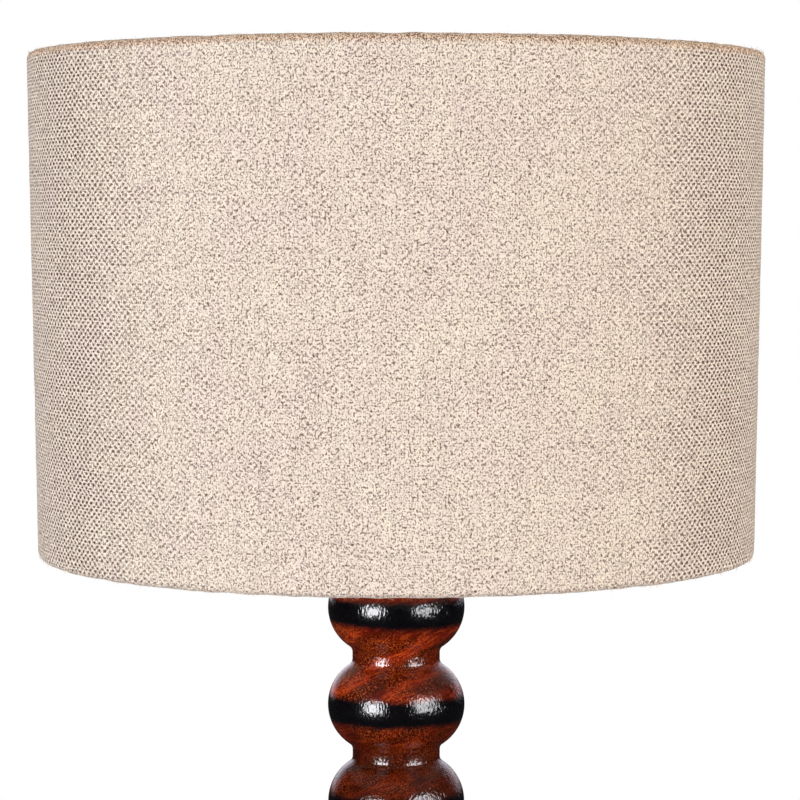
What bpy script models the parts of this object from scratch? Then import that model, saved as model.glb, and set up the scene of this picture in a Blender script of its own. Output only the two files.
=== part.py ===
"""Table lamp with a drum shade, as an assembly of separate pieces.

A turned, lacquered stem of round beads stands on a turned base. A threaded pipe holds base,
stem and lampholder together. The shade hangs on a carrier clamped between two threaded rings
on the lampholder, and a screw-in bulb stands inside it.

Metres, +Z up. The origin is on the lamp's axis, in the plane its feet stand on. The front of
the lamp faces -Y, and the cord inlet and the shade's seam side are at +Y.
"""

import math

import bpy
from mathutils import Vector

MM = 0.001

# Clearance between pieces that touch.
GAP = 0.3 * MM
# Extra length of a cutter past the face it opens.
PAST = 2.0 * MM

# Driving dimensions: base and feet.
FOOT_COUNT = 4
FOOT_HEIGHT = 4.0 * MM
FOOT_RADIUS = 9.0 * MM
FOOT_CIRCLE_RADIUS = 58.0 * MM
FOOT_WELL_RADIUS = 4.6 * MM
FOOT_HOLE_RADIUS = 2.3 * MM
FOOT_LEDGE = 2.0 * MM
FOOT_SCREW_HEAD_RADIUS = 3.8 * MM
FOOT_SCREW_HEAD_HEIGHT = 1.3 * MM
FOOT_SCREW_RADIUS = 1.6 * MM
FOOT_SCREW_LENGTH = 13.0 * MM
PILOT_RADIUS = 1.9 * MM
PILOT_DEPTH = 14.0 * MM
BASE_HEIGHT = 36.0 * MM
BASE_RADIUS = 80.0 * MM
BASE_EDGE_RADIUS = 9.5 * MM
BASE_COLLAR_RADIUS = 34.5 * MM
BASE_COLLAR_BEAD = 3.5 * MM
RECESS_RADIUS = 31.0 * MM
RECESS_DEPTH = 15.0 * MM
CORD_HOLE_RADIUS = 4.6 * MM
CORD_BORE_RADIUS = 3.5 * MM
GROMMET_LENGTH = 16.0 * MM
GROMMET_FLANGE_RADIUS = 7.0 * MM
GROMMET_FLANGE_THICKNESS = 2.2 * MM
GROMMET_SEAT_DEPTH = 3.5 * MM

# Driving dimensions: stem, with the pipe through it and what is screwed on the pipe.
BEAD_COUNT = 5
BEAD_RADIUS = 28.8 * MM
BEAD_CURVE_RADIUS = 19.6 * MM
BEAD_PITCH = 41.3 * MM
NECK_RADIUS = 18.4 * MM
COVE_RADIUS = 3.5 * MM  # of the hollow curve between a bead and a neck
FIRST_NECK = 2.36 * MM
TOP_NECK = 1.56 * MM
TENON_RADIUS = 12.0 * MM
TENON_LENGTH = 9.5 * MM
STEM_BORE_RADIUS = 5.5 * MM
PIPE_RADIUS = 4.85 * MM
PIPE_BORE_RADIUS = 3.5 * MM
PIPE_LIFT = 4.5 * MM  # from the base's underside up to the pipe's lower end
BASE_WASHER_RADIUS = 15.0 * MM
BASE_WASHER_THICKNESS = 1.5 * MM
BASE_NUT_WIDTH = 17.0 * MM
BASE_NUT_THICKNESS = 5.0 * MM
STEM_CAP_RADIUS = 17.4 * MM
STEM_CAP_THICKNESS = 2.0 * MM
LOCK_NUT_WIDTH = 14.0 * MM
LOCK_NUT_THICKNESS = 3.0 * MM

# Driving dimensions: lampholder.
HOLDER_RADIUS = 21.5 * MM
HOLDER_WALL = 1.8 * MM
HOLDER_HEIGHT = 22.0 * MM
HUB_RADIUS = 12.0 * MM
HUB_HEIGHT = 8.0 * MM
GRUB_SCREW_RADIUS = 1.2 * MM
GRUB_SCREW_LENGTH = 6.0 * MM
GRUB_SCREW_LIFT = 2.5 * MM  # from the hub's lower end up to the screw's axis
BAR_RADIUS = 3.0 * MM
BAR_PROUD = 6.0 * MM
BAR_ROOM = 1.0 * MM  # free space above and below the bar
INSULATOR_HEIGHT = 14.0 * MM
INSULATOR_FLANGE = 2.5 * MM
TERMINAL_OFFSET = 10.0 * MM
TERMINAL_HOLE_RADIUS = 1.6 * MM
TERMINAL_HOLE_DEPTH = 10.0 * MM
TERMINAL_HEAD_RADIUS = 2.7 * MM
TERMINAL_HEAD_HEIGHT = 1.6 * MM
TERMINAL_SCREW_RADIUS = 1.3 * MM
TERMINAL_SCREW_LENGTH = 8.0 * MM
SLEEVE_RADIUS = 19.4 * MM
SLEEVE_BORE_RADIUS = 16.4 * MM
SLEEVE_LENGTH = 37.0 * MM
SHELL_RADIUS = 14.2 * MM
SHELL_BORE_RADIUS = 13.6 * MM
CONTACT_STRIP_THICKNESS = 0.6 * MM
CONTACT_STRIP_WIDTH = 5.0 * MM
CONTACT_STRIP_RISE = 1.7 * MM
RING_RADIUS = 26.0 * MM
LOWER_RING_HEIGHT = 4.0 * MM
UPPER_RING_HEIGHT = 5.0 * MM

# Driving dimensions: shade.
SHADE_TOP_RADIUS = 152.5 * MM
SHADE_BOTTOM_RADIUS = 149.5 * MM
SHADE_HEIGHT = 208.0 * MM
SHADE_DROP = 23.0 * MM  # from the shade's lower rim down to the top bead's equator
FABRIC_THICKNESS = 0.6 * MM
LINER_THICKNESS = 0.5 * MM
LINER_INSET = 6.0 * MM  # from a hoop's centre to the liner's edge
HOOP_WIRE_RADIUS = 2.0 * MM
ROLL_ANGLE = 170.0  # degrees of the hoop's section that the fabric wraps past the wall
CARRIER_RADIUS = 30.0 * MM
CARRIER_THICKNESS = 1.5 * MM
ARM_COUNT = 3
ARM_WIRE_RADIUS = 1.75 * MM
ARM_FLAT_RUN = 5.0 * MM
ARM_BEND_RUN = 12.0 * MM

# Driving dimensions: bulb.
BULB_REST_GAP = 1.1 * MM  # from the contact strip up to the bulb's contact
BULB_CONTACT_RADIUS = 4.5 * MM
BULB_CONTACT_HEIGHT = 1.4 * MM
BULB_INSULATOR_RADIUS = 12.2 * MM
BULB_INSULATOR_HEIGHT = 4.0 * MM
BULB_CAP_RADIUS = 13.1 * MM
BULB_CAP_LENGTH = 24.0 * MM
BULB_CAP_WALL = 0.6 * MM
BULB_CAP_LIFT = 2.6 * MM  # from the insulator's lower face up to the cap's lower edge
BULB_SPIGOT_LENGTH = 6.0 * MM
BULB_HOUSING_RADIUS = 27.0 * MM
BULB_HOUSING_HEIGHT = 36.0 * MM
BULB_GLOBE_RADIUS = 30.0 * MM
BULB_GLOBE_WALL = 1.5 * MM

# Levels above the plane the feet stand on: base and stem.
BASE_BOTTOM = FOOT_HEIGHT
BASE_TOP = BASE_BOTTOM + BASE_HEIGHT
RECESS_TOP = BASE_BOTTOM + RECESS_DEPTH
CORD_LEVEL = BASE_BOTTOM + BASE_EDGE_RADIUS
WASHER_BOTTOM = RECESS_TOP - GAP - BASE_WASHER_THICKNESS
STEM_BOTTOM = BASE_TOP + GAP
BEAD_CENTRE_RADIUS = BEAD_RADIUS - BEAD_CURVE_RADIUS
COVE_CENTRE_RADIUS = NECK_RADIUS + COVE_RADIUS
BEAD_HALF = math.sqrt(
    (BEAD_CURVE_RADIUS + COVE_RADIUS) ** 2 - (COVE_CENTRE_RADIUS - BEAD_CENTRE_RADIUS) ** 2
)
FIRST_BEAD = STEM_BOTTOM + FIRST_NECK + BEAD_HALF
TOP_BEAD = FIRST_BEAD + (BEAD_COUNT - 1) * BEAD_PITCH
STEM_TOP = TOP_BEAD + BEAD_HALF + TOP_NECK
SHADE_BOTTOM = TOP_BEAD + SHADE_DROP
SHADE_TOP = SHADE_BOTTOM + SHADE_HEIGHT

# Levels of the lampholder, from its hub up to the screw shell.
LOCK_NUT_BOTTOM = STEM_TOP + GAP + STEM_CAP_THICKNESS + GAP
HOLDER_BOTTOM = LOCK_NUT_BOTTOM + LOCK_NUT_THICKNESS + GAP
HOLDER_TOP = HOLDER_BOTTOM + HOLDER_HEIGHT
GRUB_SCREW_LEVEL = HOLDER_BOTTOM + GRUB_SCREW_LIFT
PIPE_BOTTOM = BASE_BOTTOM + PIPE_LIFT
PIPE_TOP = HOLDER_BOTTOM + HUB_HEIGHT + GAP
BAR_LEVEL = PIPE_TOP + GAP + BAR_ROOM + BAR_RADIUS
INSULATOR_BOTTOM = BAR_LEVEL + BAR_RADIUS + BAR_ROOM
INSULATOR_TOP = INSULATOR_BOTTOM + INSULATOR_HEIGHT
SLEEVE_BOTTOM = INSULATOR_BOTTOM + INSULATOR_FLANGE + GAP
SLEEVE_TOP = SLEEVE_BOTTOM + SLEEVE_LENGTH
SHELL_BOTTOM = INSULATOR_TOP + GAP
SHELL_TOP = SLEEVE_TOP - 1.0 * MM

# Levels of the shade's rings and carrier, and of the bulb.
LOWER_RING_BOTTOM = HOLDER_TOP + GAP
CARRIER_BOTTOM = LOWER_RING_BOTTOM + LOWER_RING_HEIGHT + GAP
CARRIER_LEVEL = CARRIER_BOTTOM + CARRIER_THICKNESS / 2
UPPER_RING_BOTTOM = CARRIER_BOTTOM + CARRIER_THICKNESS + GAP
BULB_BOTTOM = SHELL_BOTTOM + CONTACT_STRIP_RISE + CONTACT_STRIP_THICKNESS + BULB_REST_GAP
BULB_INSULATOR_BOTTOM = BULB_BOTTOM + BULB_CONTACT_HEIGHT + GAP
BULB_CAP_BOTTOM = BULB_INSULATOR_BOTTOM + BULB_CAP_LIFT
BULB_HOUSING_BOTTOM = BULB_CAP_BOTTOM + BULB_CAP_LENGTH + GAP
BULB_GLOBE_BOTTOM = BULB_HOUSING_BOTTOM + BULB_HOUSING_HEIGHT + GAP

# Where the shade's two wire hoops run, in the middle of its rolled edges.
ROLL_INNER_RADIUS = HOOP_WIRE_RADIUS + GAP
ROLL_OUTER_RADIUS = ROLL_INNER_RADIUS + FABRIC_THICKNESS
TOP_HOOP_RADIUS = SHADE_TOP_RADIUS - ROLL_OUTER_RADIUS
TOP_HOOP_LEVEL = SHADE_TOP - ROLL_OUTER_RADIUS
BOTTOM_HOOP_RADIUS = SHADE_BOTTOM_RADIUS - ROLL_OUTER_RADIUS
BOTTOM_HOOP_LEVEL = SHADE_BOTTOM + ROLL_OUTER_RADIUS

# How finely round things are divided.
SHADE_STEPS = 48
BASE_STEPS = 40
STEM_STEPS = 28
FINE_STEPS = 24
SMALL_STEPS = 20
SCREW_STEPS = 16
PIN_STEPS = 12
SHARP_ANGLE = math.radians(35)

# Turns that lay a piece's own axis along X or Y.
ALONG_X = (0, math.pi / 2, 0)
ALONG_Y = (-math.pi / 2, 0, 0)


def clear_scene():
    for obj in list(bpy.data.objects):
        bpy.data.objects.remove(obj, do_unlink=True)


def new_collection(name):
    collection = bpy.data.collections.new(name)
    bpy.context.scene.collection.children.link(collection)
    return collection


clear_scene()
LAMP = new_collection("table_lamp")
CUTTERS = new_collection("cutters")


# Materials, one function each.


def principled(name, colour, roughness, metallic=0.0):
    material = bpy.data.materials.get(name)
    if material:
        return material
    material = bpy.data.materials.new(name)
    material.use_nodes = True
    shader = material.node_tree.nodes["Principled BSDF"]
    shader.inputs["Base Color"].default_value = (*colour, 1.0)
    shader.inputs["Roughness"].default_value = roughness
    shader.inputs["Metallic"].default_value = metallic
    material.diffuse_color = (*colour, 1.0)
    return material


def lacquered_wood():
    return principled("lacquered_wood", (0.20, 0.045, 0.012), 0.22)


def black_rubber():
    return principled("black_rubber", (0.02, 0.02, 0.02), 0.75)


def zinc_steel():
    return principled("zinc_steel", (0.62, 0.62, 0.60), 0.35, 1.0)


def yellow_brass():
    return principled("yellow_brass", (0.78, 0.57, 0.25), 0.30, 1.0)


def black_phenolic():
    return principled("black_phenolic", (0.015, 0.014, 0.013), 0.35)


def white_ceramic():
    return principled("white_ceramic", (0.80, 0.79, 0.75), 0.30)


def nickel_plate():
    return principled("nickel_plate", (0.72, 0.70, 0.66), 0.25, 1.0)


def black_glass():
    return principled("black_glass", (0.01, 0.01, 0.012), 0.10)


def white_plastic():
    return principled("white_plastic", (0.85, 0.85, 0.83), 0.40)


def opal_plastic():
    return principled("opal_plastic", (0.92, 0.92, 0.89), 0.45)


def white_painted_steel():
    return principled("white_painted_steel", (0.80, 0.79, 0.76), 0.45)


def styrene_liner():
    return principled("styrene_liner", (0.88, 0.86, 0.80), 0.50)


def woven_jute():
    return principled("woven_jute", (0.72, 0.60, 0.46), 0.90)


# Making and placing.


def pivot(name, level):
    """An empty on the lamp's axis, for the pieces that move together."""
    empty = bpy.data.objects.new(name, None)
    empty.empty_display_size = 20 * MM
    empty.location = (0, 0, level)
    LAMP.objects.link(empty)
    return empty


def place(obj, parent, position, rotation=(0, 0, 0)):
    """Sets a piece under its pivot, with position given in the lamp's own frame."""
    obj.parent = parent
    obj.location = Vector(position) - parent.location
    obj.rotation_euler = rotation
    return obj


def finish(obj, material):
    """Moves a piece into the lamp's collection, gives it its material and smooths it."""
    for collection in list(obj.users_collection):
        collection.objects.unlink(obj)
    LAMP.objects.link(obj)
    if not obj.data.materials:
        obj.data.materials.append(material)
    if obj.type == "MESH":
        obj.data.shade_smooth()
        if obj.data.polygons:
            obj.data.set_sharp_from_angle(angle=SHARP_ANGLE)
    return obj


def arc(centre_radius, centre_level, radius, start, end, steps):
    """Points (r, z) along an arc, with angles in degrees from the outward direction."""
    points = []
    for i in range(steps + 1):
        angle = math.radians(start + (end - start) * i / steps)
        r = centre_radius + radius * math.cos(angle)
        z = centre_level + radius * math.sin(angle)
        points.append((r, z))
    return points


def turned(name, outline, material, steps=SMALL_STEPS):
    """A turned piece: a closed outline (r, z), down its outer side and up its inner one."""
    closed = outline[0][0] > 0 and outline[-1][0] > 0
    last = len(outline) if closed else len(outline) - 1
    edges = [(i, (i + 1) % len(outline)) for i in range(last)]
    mesh = bpy.data.meshes.new(name)
    mesh.from_pydata([(r, 0, z) for r, z in outline], edges, [])
    obj = bpy.data.objects.new(name, mesh)
    screw = obj.modifiers.new("Screw", "SCREW")
    screw.axis = "Z"
    screw.angle = 2 * math.pi
    screw.steps = steps
    screw.render_steps = steps
    screw.use_merge_vertices = True
    screw.merge_threshold = 0.00001
    screw.use_smooth_shade = True
    return finish(obj, material)


def ring_outline(outer, inner, low, high):
    return [(outer, high), (outer, low), (inner, low), (inner, high)]


def cylinder_cutter(name, radius, length, centre, rotation=(0, 0, 0), sides=SMALL_STEPS):
    """A round cutter along Z, or turned by rotation, centred on a point of the lamp's frame."""
    bpy.ops.mesh.primitive_cylinder_add(
        vertices=sides, radius=radius, depth=length, location=centre, rotation=rotation
    )
    return as_cutter(bpy.context.object, name)


def box_cutter(name, size, centre):
    bpy.ops.mesh.primitive_cube_add(size=1, location=centre)
    obj = bpy.context.object
    obj.scale = size
    bpy.ops.object.transform_apply(location=False, rotation=False, scale=True)
    return as_cutter(obj, name)


def as_cutter(obj, name):
    obj.name = name
    for collection in list(obj.users_collection):
        collection.objects.unlink(obj)
    CUTTERS.objects.link(obj)
    obj.hide_render = True
    obj.display_type = "WIRE"
    return obj


def cut(obj, cutter):
    boolean = obj.modifiers.new(cutter.name, "BOOLEAN")
    boolean.operation = "DIFFERENCE"
    boolean.solver = "EXACT"
    boolean.object = cutter


def applied(obj):
    """The piece's mesh with its modifiers applied, for copies to share."""
    graph = bpy.context.evaluated_depsgraph_get()
    mesh = bpy.data.meshes.new_from_object(obj.evaluated_get(graph))
    mesh.set_sharp_from_angle(angle=SHARP_ANGLE)
    obj.modifiers.clear()
    obj.data = mesh
    return mesh


def copy_of(original, name):
    copy = bpy.data.objects.new(name, original.data)
    LAMP.objects.link(copy)
    return copy


# Base and feet.


def base_outline():
    """The base's section, from the top of its collar down its outside and back up inside."""
    edge_centre = BASE_RADIUS - BASE_EDGE_RADIUS
    edge_top = 2 * BASE_EDGE_RADIUS
    collar_centre = BASE_COLLAR_RADIUS - BASE_COLLAR_BEAD
    collar_low = BASE_HEIGHT - 2 * BASE_COLLAR_BEAD
    cove_start = collar_centre + 1.5 * MM
    cove_end = edge_centre - 3.5 * MM
    cove_low = edge_top + 1.2 * MM
    tenon_hole = TENON_RADIUS + GAP
    tenon_floor = BASE_HEIGHT - TENON_LENGTH - GAP
    outline = arc(collar_centre, BASE_HEIGHT - BASE_COLLAR_BEAD, BASE_COLLAR_BEAD, 90, -90, 5)
    for i in range(6):
        angle = math.radians(18 * i)
        r = cove_end - (cove_end - cove_start) * math.cos(angle)
        z = collar_low - (collar_low - cove_low) * math.sin(angle)
        outline.append((r, z))
    outline.append((edge_centre - 1.5 * MM, cove_low))
    outline.append((edge_centre - 1.0 * MM, edge_top))
    outline += arc(edge_centre, BASE_EDGE_RADIUS, BASE_EDGE_RADIUS, 90, -90, 7)
    outline.append((RECESS_RADIUS, 0))
    outline.append((RECESS_RADIUS, RECESS_DEPTH))
    outline.append((STEM_BORE_RADIUS, RECESS_DEPTH))
    outline.append((STEM_BORE_RADIUS, tenon_floor))
    outline.append((tenon_hole, tenon_floor))
    outline.append((tenon_hole, BASE_HEIGHT))
    return outline


def foot_places():
    for i in range(FOOT_COUNT):
        angle = math.radians(45 + 360 * i / FOOT_COUNT)
        yield FOOT_CIRCLE_RADIUS * math.cos(angle), FOOT_CIRCLE_RADIUS * math.sin(angle)


def base_disc(parent):
    obj = turned("base_disc", base_outline(), lacquered_wood(), BASE_STEPS)
    place(obj, parent, (0, 0, BASE_BOTTOM))
    cut(obj, radial_cutter("cord_hole", CORD_HOLE_RADIUS, RECESS_RADIUS - 6 * MM))
    seat_start = BASE_RADIUS - GROMMET_SEAT_DEPTH
    cut(obj, radial_cutter("grommet_seat", GROMMET_FLANGE_RADIUS + GAP, seat_start))
    for i, (x, y) in enumerate(foot_places(), 1):
        centre = (x, y, BASE_BOTTOM + (PILOT_DEPTH - PAST) / 2)
        length = PILOT_DEPTH + PAST
        pilot = cylinder_cutter(f"pilot_hole_{i}", PILOT_RADIUS, length, centre, sides=PIN_STEPS)
        cut(obj, pilot)
    return obj


def radial_cutter(name, radius, start):
    """A cutter at the cord's level, from start along +Y until it is past the base's edge."""
    end = BASE_RADIUS + PAST
    return cylinder_cutter(name, radius, end - start, (0, (start + end) / 2, CORD_LEVEL), ALONG_Y)


def foot_outline():
    top = FOOT_HEIGHT - GAP
    return [
        (FOOT_RADIUS, top),
        (FOOT_RADIUS, top - 1.2 * MM),
        (FOOT_RADIUS - 0.8 * MM, 0.6 * MM),
        (FOOT_RADIUS - 1.4 * MM, 0),
        (FOOT_WELL_RADIUS, 0),
        (FOOT_WELL_RADIUS, FOOT_LEDGE),
        (FOOT_HOLE_RADIUS, FOOT_LEDGE),
        (FOOT_HOLE_RADIUS, top),
    ]


def feet(parent):
    foot = turned("foot_1", foot_outline(), black_rubber(), SCREW_STEPS)
    applied(foot)
    for i, (x, y) in enumerate(foot_places(), 1):
        if i > 1:
            foot = copy_of(foot, f"foot_{i}")
        place(foot, parent, (x, y, 0))


def pan_screw(name, head_radius, head_height, shank_radius, length, material):
    """A screw standing on its slotted head, with its shank upward."""
    tip = shank_radius / 2
    outline = [
        (0, head_height + length),
        (shank_radius, head_height + length - tip),
        (shank_radius, head_height),
        (head_radius, head_height),
        (head_radius, head_height * 0.45),
        (head_radius * 0.7, 0),
        (0, 0),
    ]
    obj = turned(name, outline, material, SCREW_STEPS)
    slot_depth = 0.4 * head_height
    slot_width = 0.22 * head_radius
    size = (3 * head_radius, slot_width, 2 * slot_depth)
    cut(obj, box_cutter(f"{name}_slot", size, (0, 0, 0)))
    applied(obj)
    return obj


def foot_screws(parent):
    screw = pan_screw(
        "foot_screw_1",
        FOOT_SCREW_HEAD_RADIUS,
        FOOT_SCREW_HEAD_HEIGHT,
        FOOT_SCREW_RADIUS,
        FOOT_SCREW_LENGTH,
        zinc_steel(),
    )
    level = FOOT_LEDGE - GAP - FOOT_SCREW_HEAD_HEIGHT
    for i, (x, y) in enumerate(foot_places(), 1):
        if i > 1:
            screw = copy_of(screw, f"foot_screw_{i}")
        place(screw, parent, (x, y, level), (0, 0, math.radians(25 * i)))


def cord_grommet(parent):
    """The cord's bush in the back of the base, turned about the hole's own axis."""
    flange = GROMMET_FLANGE_THICKNESS
    rounding = 1.0 * MM
    flare = 0.6 * MM
    outline = [
        (GROMMET_FLANGE_RADIUS - rounding, flange),
        (GROMMET_FLANGE_RADIUS, flange - rounding),
        (GROMMET_FLANGE_RADIUS, 0),
        (CORD_HOLE_RADIUS - GAP, 0),
        (CORD_HOLE_RADIUS - GAP, -GROMMET_LENGTH),
        (CORD_BORE_RADIUS, -GROMMET_LENGTH),
        (CORD_BORE_RADIUS, flange - flare),
        (CORD_BORE_RADIUS + flare, flange),
    ]
    obj = turned("cord_grommet", outline, black_rubber())
    seat = BASE_RADIUS - GROMMET_SEAT_DEPTH + GAP
    return place(obj, parent, (0, seat, CORD_LEVEL), ALONG_Y)


# Pipe, washer and nuts.


def lamp_pipe(parent):
    outline = ring_outline(PIPE_RADIUS, PIPE_BORE_RADIUS, 0, PIPE_TOP - PIPE_BOTTOM)
    obj = turned("lamp_pipe", outline, zinc_steel())
    return place(obj, parent, (0, 0, PIPE_BOTTOM))


def base_washer(parent):
    thickness = BASE_WASHER_THICKNESS
    outline = ring_outline(BASE_WASHER_RADIUS, PIPE_RADIUS + GAP, 0, thickness)
    obj = turned("base_washer", outline, zinc_steel())
    return place(obj, parent, (0, 0, WASHER_BOTTOM))


def hex_nut(name, across_flats, thickness, material):
    """A nut for the pipe, centred on its own origin."""
    bpy.ops.mesh.primitive_cylinder_add(
        vertices=6, radius=across_flats / math.sqrt(3), depth=thickness
    )
    obj = finish(bpy.context.object, material)
    obj.name = name
    cut(obj, cylinder_cutter(f"{name}_hole", PIPE_RADIUS + GAP, thickness + 2 * PAST, (0, 0, 0)))
    applied(obj)
    return obj


def base_nut(parent):
    obj = hex_nut("base_nut", BASE_NUT_WIDTH, BASE_NUT_THICKNESS, zinc_steel())
    return place(obj, parent, (0, 0, WASHER_BOTTOM - GAP - BASE_NUT_THICKNESS / 2))


def lock_nut(parent):
    obj = hex_nut("lock_nut", LOCK_NUT_WIDTH, LOCK_NUT_THICKNESS, yellow_brass())
    return place(obj, parent, (0, 0, LOCK_NUT_BOTTOM + LOCK_NUT_THICKNESS / 2))


# Stem.


def bead_outline(level):
    """One bead, with the hollow curve above it and the one below."""
    lean = math.degrees(math.atan2(BEAD_HALF, COVE_CENTRE_RADIUS - BEAD_CENTRE_RADIUS))
    above = arc(COVE_CENTRE_RADIUS, level + BEAD_HALF, COVE_RADIUS, 180, 180 + lean, 3)
    bead = arc(BEAD_CENTRE_RADIUS, level, BEAD_CURVE_RADIUS, lean, -lean, 8)
    below = arc(COVE_CENTRE_RADIUS, level - BEAD_HALF, COVE_RADIUS, 180 - lean, 180, 3)
    return above[:-1] + bead + below[1:]


def stem_outline():
    """The stem's section, bead by bead from the top, with its tenon below and its bore."""
    edge = 0.8 * MM
    outline = [(NECK_RADIUS - edge, STEM_TOP), (NECK_RADIUS, STEM_TOP - edge)]
    for i in range(BEAD_COUNT):
        outline += bead_outline(TOP_BEAD - i * BEAD_PITCH)
    outline.append((NECK_RADIUS, STEM_BOTTOM))
    outline.append((TENON_RADIUS, STEM_BOTTOM))
    outline.append((TENON_RADIUS, STEM_BOTTOM - TENON_LENGTH))
    outline.append((STEM_BORE_RADIUS, STEM_BOTTOM - TENON_LENGTH))
    outline.append((STEM_BORE_RADIUS, STEM_TOP))
    return [(r, z - STEM_BOTTOM) for r, z in outline]


def turned_stem(parent):
    obj = turned("turned_stem", stem_outline(), lacquered_wood(), STEM_STEPS)
    return place(obj, parent, (0, 0, STEM_BOTTOM))


def stem_cap(parent):
    """The brass cap that covers the stem's end grain."""
    height = STEM_CAP_THICKNESS
    outline = [
        (STEM_CAP_RADIUS - 6.4 * MM, height),
        (STEM_CAP_RADIUS - 0.9 * MM, height * 0.75),
        (STEM_CAP_RADIUS, height * 0.3),
        (STEM_CAP_RADIUS, 0),
        (PIPE_RADIUS + GAP, 0),
        (PIPE_RADIUS + GAP, height),
    ]
    obj = turned("stem_cap", outline, yellow_brass(), FINE_STEPS)
    return place(obj, parent, (0, 0, STEM_TOP + GAP))


# Lampholder.


def holder_cap_outline():
    """From the cup's rim down its outside to the hub, and back up its inside."""
    inner = HOLDER_RADIUS - HOLDER_WALL
    shoulder = HUB_HEIGHT + HOLDER_WALL
    edge = 0.5 * MM
    return [
        (HOLDER_RADIUS - edge, HOLDER_HEIGHT),
        (HOLDER_RADIUS, HOLDER_HEIGHT - edge),
        (HOLDER_RADIUS, shoulder - 0.2 * MM),
        (HOLDER_RADIUS - 1.2 * MM, shoulder - 2.2 * MM),
        (HOLDER_RADIUS - 3.6 * MM, shoulder - 3.6 * MM),
        (HUB_RADIUS + 0.6 * MM, shoulder - 4.2 * MM),
        (HUB_RADIUS, shoulder - 4.8 * MM),
        (HUB_RADIUS, 0),
        (PIPE_RADIUS + GAP, 0),
        (PIPE_RADIUS + GAP, HUB_HEIGHT),
        (inner - 2.4 * MM, HUB_HEIGHT),
        (inner, shoulder),
        (inner, HOLDER_HEIGHT),
    ]


def holder_cap(parent):
    """The lampholder's lower cover: a hub on the pipe that opens into a cup."""
    obj = turned("holder_cap", holder_cap_outline(), black_phenolic(), FINE_STEPS)
    place(obj, parent, (0, 0, HOLDER_BOTTOM))
    hole = BAR_RADIUS + GAP
    length = 2 * (HOLDER_RADIUS + PAST)
    cut(obj, cylinder_cutter("bar_hole", hole, length, (0, 0, BAR_LEVEL), ALONG_X, SCREW_STEPS))
    hole = GRUB_SCREW_RADIUS + GAP
    length = HUB_RADIUS + PAST
    middle = (0, length / 2, GRUB_SCREW_LEVEL)
    cut(obj, cylinder_cutter("grub_screw_hole", hole, length, middle, ALONG_Y, PIN_STEPS))
    return obj


def holder_grub_screw(parent):
    length = GRUB_SCREW_LENGTH
    radius = GRUB_SCREW_RADIUS
    tip = 0.4 * MM
    outline = [(0, length), (radius, length), (radius, tip), (radius - tip, 0), (0, 0)]
    obj = turned("holder_grub_screw", outline, zinc_steel(), PIN_STEPS)
    return place(obj, parent, (0, PIPE_RADIUS + GAP, GRUB_SCREW_LEVEL), ALONG_Y)


def holder_insulator(parent):
    """The block that carries the contacts, with a flange that the sleeve clamps."""
    body = SLEEVE_BORE_RADIUS - GAP
    flange = HOLDER_RADIUS - HOLDER_WALL - GAP
    edge = 0.6 * MM
    outline = [
        (0, INSULATOR_HEIGHT),
        (body - edge, INSULATOR_HEIGHT),
        (body, INSULATOR_HEIGHT - edge),
        (body, INSULATOR_FLANGE),
        (flange, INSULATOR_FLANGE),
        (flange, 0),
        (0, 0),
    ]
    obj = turned("holder_insulator", outline, white_ceramic(), FINE_STEPS)
    place(obj, parent, (0, 0, INSULATOR_BOTTOM))
    middle = INSULATOR_BOTTOM + (TERMINAL_HOLE_DEPTH - PAST) / 2
    length = TERMINAL_HOLE_DEPTH + PAST
    for i, y in enumerate((-TERMINAL_OFFSET, TERMINAL_OFFSET), 1):
        name = f"terminal_hole_{i}"
        centre = (0, y, middle)
        hole = cylinder_cutter(name, TERMINAL_HOLE_RADIUS, length, centre, sides=PIN_STEPS)
        cut(obj, hole)
    return obj


def terminal_screws(parent):
    screw = pan_screw(
        "terminal_screw_1",
        TERMINAL_HEAD_RADIUS,
        TERMINAL_HEAD_HEIGHT,
        TERMINAL_SCREW_RADIUS,
        TERMINAL_SCREW_LENGTH,
        yellow_brass(),
    )
    level = INSULATOR_BOTTOM - GAP - TERMINAL_HEAD_HEIGHT
    place(screw, parent, (0, -TERMINAL_OFFSET, level), (0, 0, math.radians(20)))
    second = copy_of(screw, "terminal_screw_2")
    place(second, parent, (0, TERMINAL_OFFSET, level), (0, 0, math.radians(-35)))


def centre_contact(parent):
    """The bent brass tongue under the bulb: a side outline extruded to the strip's width."""
    curve = bpy.data.curves.new("centre_contact", "CURVE")
    curve.dimensions = "2D"
    curve.fill_mode = "BOTH"
    curve.extrude = CONTACT_STRIP_WIDTH / 2
    spline = curve.splines.new("POLY")
    rise = CONTACT_STRIP_RISE
    lower = [(-7 * MM, 0), (-5 * MM, 0), (-1.5 * MM, rise), (4.5 * MM, rise)]
    upper = [(x, z + CONTACT_STRIP_THICKNESS) for x, z in reversed(lower)]
    points = lower + upper
    spline.points.add(len(points) - 1)
    for point, (x, z) in zip(spline.points, points):
        point.co = (x, z, 0, 1)
    spline.use_cyclic_u = True
    obj = finish(bpy.data.objects.new("centre_contact", curve), yellow_brass())
    return place(obj, parent, (0, 0, SHELL_BOTTOM), (math.pi / 2, 0, 0))


def screw_shell(parent):
    outline = ring_outline(SHELL_RADIUS, SHELL_BORE_RADIUS, 0, SHELL_TOP - SHELL_BOTTOM)
    obj = turned("screw_shell", outline, yellow_brass(), FINE_STEPS)
    return place(obj, parent, (0, 0, SHELL_BOTTOM))


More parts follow.
